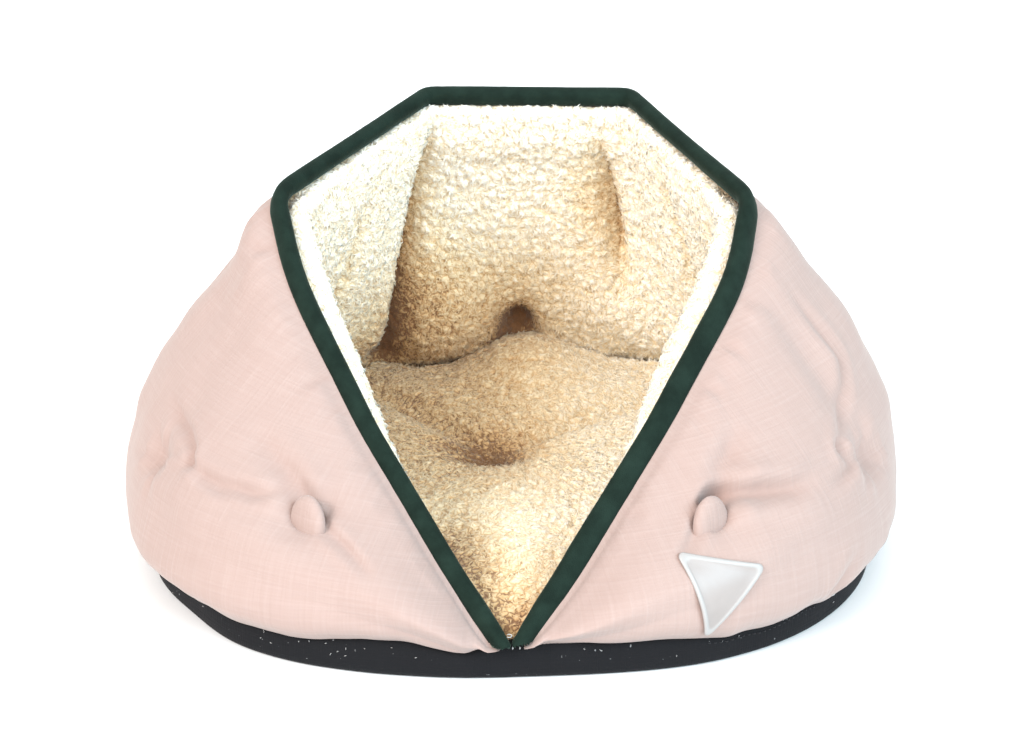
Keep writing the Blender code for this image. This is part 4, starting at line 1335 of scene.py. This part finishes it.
def build_base():
    """The black band with a slightly rippled side and a rolled seam along its top."""
    azimuths = np.linspace(0.0, 360.0, BASE_COLUMNS + 1)
    way = direction(azimuths)
    radii = base_radius(azimuths) - 0.0045 * bell(turn_between(azimuths, -54.0), 9.0)
    profile = ((0.0, 0.0), (0.55, 0.0), (0.975, 0.0), (0.9925, 0.0006), (0.9985, 0.0026),
               (1.0, 0.0060), (1.0, 0.0100), (1.0, 0.0140), (0.9985, 0.0168), (0.994, 0.0188),
               (0.985, 0.0195), (0.90, 0.0195), (0.0, 0.0195))
    around = np.radians(azimuths) * ARC_RADIUS
    rows = []
    top = seam_height(azimuths) / BASE_HEIGHT
    for part, height in profile:
        ripple = 0.0009 * flat_noise(around / 0.022, height / 0.012, 61) * bell(height - 0.011, 0.008)
        ring = way * (radii * part + ripple * (part > 0.98))[:, None]
        ring[:, 2] = height * (top if part > 0.98 else np.minimum(top, 1.0))
        rows.append(ring[:, None])
    sections = np.concatenate(rows, axis=1)
    sections[-1] = sections[0]
    count = sections.shape[1]
    quads = grid_quads(BASE_COLUMNS + 1, count, False)
    across = np.array([0.3 * part + height for part, height in profile])
    uv = np.stack(np.broadcast_arrays(around[:, None], across), axis=-1)
    obj = object_from("base_cloth", sections.reshape(-1, 3), quads, uv=uv.reshape(-1, 2))
    weld(obj)
    obj.data.materials.append(black_cloth("black_cloth"))
    return obj


def build_button(name, seat, out):
    """A cloth-covered button: a low dome, a drawn rim and small gathers round its side."""
    sides = 72
    profile = ((0.0, 0.0044), (0.30, 0.0043), (0.55, 0.0040), (0.74, 0.0034), (0.88, 0.0024),
               (0.96, 0.0011), (1.0, -0.0003), (0.985, -0.0018), (0.93, -0.0030), (0.80, -0.0040),
               (0.40, -0.0042), (0.0, -0.0042))
    spin = np.linspace(0.0, 2.0 * math.pi, sides, endpoint=False)
    across = unit(np.cross(np.array((0.0, 0.0, 1.0)), out))
    up = np.cross(out, across)
    toward, down = BUTTON_SHIFT
    centre = seat + out * (BUTTON_LIFT + BUTTON_STAND) - across * math.copysign(toward, seat[0]) - up * down
    seed = 71 if centre[0] < 0 else 72
    verts, uv = [], []
    for part, height in profile:
        gather = flat_noise(spin / (2 * math.pi) * 26.0, np.full(sides, 0.5), seed)
        pinch = 1.0 + 0.018 * gather * bell(part - 1.0, 0.12)
        lift = height + 0.0003 * flat_noise(np.cos(spin) * part * 2.5, np.sin(spin) * part * 2.5, seed + 5)
        egg = BUTTON_WIDE - BUTTON_EGG * np.sin(spin)
        x = np.cos(spin) * part * BUTTON_RADIUS * pinch * egg
        y = np.sin(spin) * part * BUTTON_RADIUS * pinch * BUTTON_TALL
        verts.append(centre + across * x[:, None] + up * y[:, None] + out * lift[:, None])
        uv.append(np.stack((x + 0.3, y + 0.2), axis=-1))
    verts = np.stack(verts, axis=1)
    verts = np.concatenate((verts, verts[:1]))
    uv = np.stack(uv, axis=1)
    uv = np.concatenate((uv, uv[:1]))
    quads = grid_quads(sides + 1, len(profile), False)
    tone = np.zeros(verts.shape[:2])
    obj = object_from(name, verts.reshape(-1, 3), quads, uv=uv.reshape(-1, 2), tone=tone)
    weld(obj)
    return obj


def tag_outline(steps):
    """A triangle with rounded corners, point down, around its own middle."""
    reach = TAG_SIDE / math.sqrt(3.0)
    corners = []
    for angle in (180.0, 60.0, -60.0):
        a = math.radians(angle)
        corners.append(Vector((reach * math.sin(a), reach * math.cos(a), 0.0)))
    outline = []
    for i, corner in enumerate(corners):
        outline += round_corner(corners[i - 1], corner, corners[(i + 1) % 3], TAG_CORNER, 8)
    outline.append(outline[0])
    flat = even_points(np.array([tuple(p) for p in outline]), steps + 1)[:-1, :2]
    return flat * np.array((TAG_NARROWING, 1.0))


def surface_frame(azimuth, station):
    """The ways across, up and out of the wall's face, with no tuft or crease in it."""
    chords = Chords([azimuth - 1.0, azimuth, azimuth + 1.0])
    stations = np.array((station - 0.02, station, station + 0.02))[None, :]
    points = chords.points(stations, unpulled_offset(chords, stations))
    across = unit(points[2, 1] - points[0, 1])
    out = unit(np.cross(across, points[1, 2] - points[1, 0]))
    return points[1, 1], out


def build_tag(wall):
    """The rubber triangle: a raised rim round a blank face, bent to lie on the cloth."""
    chord = Chords([TAG_AZIMUTH])
    station = (TAG_HEIGHT - chord.seam[0, 2]) / (chord.top[0, 2] - chord.seam[0, 2])
    middle, out = surface_frame(TAG_AZIMUTH, station)
    level = unit(np.cross(np.array((0.0, 0.0, 1.0)), out))
    up = np.cross(out, level)
    lean = math.radians(TAG_LEAN)
    right = level * math.cos(lean) + up * math.sin(lean)
    upward = np.cross(out, right)
    mesh = wall.data
    flat = np.zeros(len(mesh.vertices) * 3)
    mesh.vertices.foreach_get("co", flat)
    tree = BVHTree.FromPolygons(flat.reshape(-1, 3).tolist(), [tuple(p.vertices) for p in mesh.polygons])
    outline = tag_outline(96)
    samples, depths = [], []
    for scale in (1.0, 0.8, 0.6, 0.4, 0.2, 0.0):
        for x, y in outline[::4] * scale:
            start = middle + right * x + upward * y + out * 0.04
            hit = tree.ray_cast(Vector(start), Vector(-out))
            if hit[0] is not None:
                samples.append((1.0, x, y, x * x, x * y, y * y))
                depths.append(0.04 - hit[3])
    bend = np.linalg.lstsq(np.array(samples), np.array(depths), rcond=None)[0]
    residual = np.array(depths) - np.array(samples) @ bend
    lift = max(0.0, float(np.percentile(residual, 92))) + 0.0004
    verts, tone = [], []
    for scale, height, rim in TAG_RINGS:
        x, y = outline[:, 0] * scale, outline[:, 1] * scale
        depth = np.stack((np.ones_like(x), x, y, x * x, x * y, y * y), axis=-1) @ bend + lift + height
        verts.append(middle + right * x[:, None] + upward * y[:, None] + out * depth[:, None])
        tone.append(np.full(len(x), rim))
    verts = np.stack(verts, axis=1)
    verts = np.concatenate((verts, verts[:1]))
    tone = np.stack(tone, axis=1)
    tone = np.concatenate((tone, tone[:1]))
    quads = grid_quads(len(outline) + 1, len(TAG_RINGS), False)
    under = np.arange(len(outline)) * len(TAG_RINGS)
    verts = np.concatenate((verts.reshape(-1, 3), verts[:-1, 0].mean(axis=0)[None]))
    tone = np.append(tone.ravel(), 0.0)
    obj = object_from("rubber_tag", verts, quads, fan(under[::-1], len(verts) - 1), tone=tone)
    weld(obj)
    obj.data.materials.append(soft_rubber("pale_rubber"))
    return obj


def strand(points, radius, sides=5):
    """A thin round tube along a few points."""
    points = np.asarray(points, float)
    along = unit(np.gradient(points, axis=0))
    across = unit(np.cross(along, np.array((0.21, 0.35, 0.91))))
    other = np.cross(along, across)
    spin = np.linspace(0.0, 2.0 * math.pi, sides, endpoint=False)[None, :, None]
    taper = np.full(len(points), radius)
    taper[0] = taper[-1] = radius * 0.3
    ways = across[:, None] * np.cos(spin) + other[:, None] * np.sin(spin)
    return points[:, None] + ways * taper[:, None, None]


def strands_object(name, tubes, material):
    verts, quads, tris, first = [], [], [], 0
    for tube in tubes:
        columns, sides = tube.shape[:2]
        verts.append(tube.reshape(-1, 3))
        quads.append(grid_quads(columns, sides, True, first))
        ends = np.stack((tube[0].mean(axis=0), tube[-1].mean(axis=0)))
        verts.append(ends)
        tip = first + columns * sides
        tris.append(fan(first + np.arange(sides), tip))
        tris.append(fan((first + (columns - 1) * sides + np.arange(sides))[::-1], tip + 1))
        first = tip + 2
    obj = object_from(name, np.concatenate(verts), np.concatenate(quads), np.concatenate(tris))
    obj.data.materials.append(material)
    return obj


def band_point(azimuth, height, out=0.0):
    """A place on the base band's side."""
    place = direction(azimuth) * (base_radius(azimuth) + out)
    place[2] = height
    return place


def build_lint():
    """Loose light fibres caught on the black band."""
    rng = np.random.default_rng(17)
    spots = list(LINT) + [(rng.uniform(-80.0, 180.0), rng.uniform(0.007, 0.0185)) for _ in range(30)]
    tubes = []
    for azimuth, height in spots:
        turn = rng.uniform(0.0, math.pi)
        length = rng.uniform(0.0006, 0.0020)
        points = []
        for t in (-0.5, -0.15, 0.15, 0.5):
            step = length * t
            wander = 0.0003 * rng.normal()
            points.append(band_point(azimuth + math.degrees((step * math.cos(turn) + wander) / ARC_RADIUS),
                                     height + step * math.sin(turn), 0.0007 + 0.0003 * rng.random()))
        tubes.append(strand(points, 0.00016, 4))
    return strands_object("lint", tubes, thread("lint_fibre", THREAD))


def build_threads():
    """White ends of the closing seam: two stitches under the V, and a loop there and at the right."""
    tubes = []
    for x in (0.0004, 0.0045):
        azimuth = math.degrees(x / BASE_HALF_DEPTH)
        heights = (0.0222, 0.0228, 0.0234, 0.0240)
        tubes.append(strand([band_point(azimuth, height, 0.0056) for height in heights], 0.00045))
    for azimuth, height, width, out in ((-0.4, 0.0300, 0.0014, 0.0050), (51.5, 0.0205, 0.0024, 0.0060)):
        loop = []
        for step in range(13):
            turn = math.radians(-60.0 + 25.0 * step)
            beside = azimuth + math.degrees(width * math.sin(turn) / ARC_RADIUS)
            above = height + width * (1.0 - math.cos(turn)) * 0.6
            loop.append(band_point(beside, above, out + 0.0004 * math.cos(turn)))
        tubes.append(strand(loop, 0.00028))
    return strands_object("threads", tubes, thread("white_thread", WHITE_THREAD))


def build_band_stitches():
    """The row of dark stitches that shows on the right of the black band."""
    tubes = []
    for step in range(22):
        azimuth = 29.0 + 0.92 * step
        height = float(seam_height(np.array([azimuth]))[0]) - 0.0042
        places = ((0.0, 0.0), (0.16, 0.0008), (0.40, 0.0008), (0.56, 0.0))
        tubes.append(strand([band_point(azimuth + turn, height, out) for turn, out in places], 0.00034))
    return strands_object("band_stitches", tubes, thread("grey_thread", GREY_THREAD))


# ------------------------------------------------------------- the scene around it
def look_at(obj, target):
    obj.rotation_euler = (Vector(target) - obj.location).to_track_quat("-Z", "Y").to_euler()


def soft_sun(name, azimuth, elevation, softness, strength, colour):
    """A far, wide, soft light; strength is what it gives a white surface that faces it."""
    data = bpy.data.lights.new(name, "SUN")
    data.angle = math.radians(softness)
    data.energy = strength * math.pi
    data.color = colour
    light = link(bpy.data.objects.new(name, data))
    level = math.cos(math.radians(elevation))
    light.location = (*(direction(azimuth)[:2] * level * 2.0), 2.0 * math.sin(math.radians(elevation)))
    look_at(light, (0.0, 0.0, 0.0))


def build_stage():
    verts = [(-4.0, -4.0, -0.0004), (4.0, -4.0, -0.0004), (4.0, 5.0, -0.0004), (-4.0, 5.0, -0.0004)]
    floor = object_from("floor", np.array(verts), np.array(((0, 1, 2, 3),)))
    floor.data.materials.append(floor_material())
    world = bpy.data.worlds.new("studio")
    bpy.context.scene.world = world
    world.use_nodes = True
    background = world.node_tree.nodes["Background"]
    background.inputs["Color"].default_value = (1.0, 1.0, 1.0, 1.0)
    background.inputs["Strength"].default_value = WORLD_STRENGTH
    for light in LIGHTS:
        soft_sun(*light)
    camera = bpy.data.cameras.new("camera")
    camera.sensor_width = 36.0
    camera.lens = CAMERA_LENS
    eye = link(bpy.data.objects.new("camera", camera))
    eye.location = CAMERA_PLACE
    look_at(eye, CAMERA_TARGET)
    bpy.context.scene.camera = eye
    bpy.context.scene.view_settings.view_transform = "Standard"
    bpy.context.scene.view_settings.look = "None"


def dress(pieces, nodes=()):
    """Each piece rides on the one body and stands for the nodes."""
    for piece in pieces:
        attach(piece, "root")
    if nodes:
        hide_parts(*nodes)


def main():
    build_stage()
    wall = build_wall()
    dress([wall], ["wall"])
    dress(build_lining(), ["lining"])
    dress(build_pad(), ["cushion"])
    dress([build_binding()], ["binding"])
    dress([build_base()], ["base"])
    cover = linen("button_linen")
    for name, (seat, out) in zip(("button_left", "button_right"), BUTTON_SEATS):
        button = build_button("covered_" + name, seat, out)
        button.data.materials.append(cover)
        dress([button], [name])
    dress([build_tag(wall)], ["tag"])
    dress([build_lint(), build_threads(), build_band_stitches()])


main()
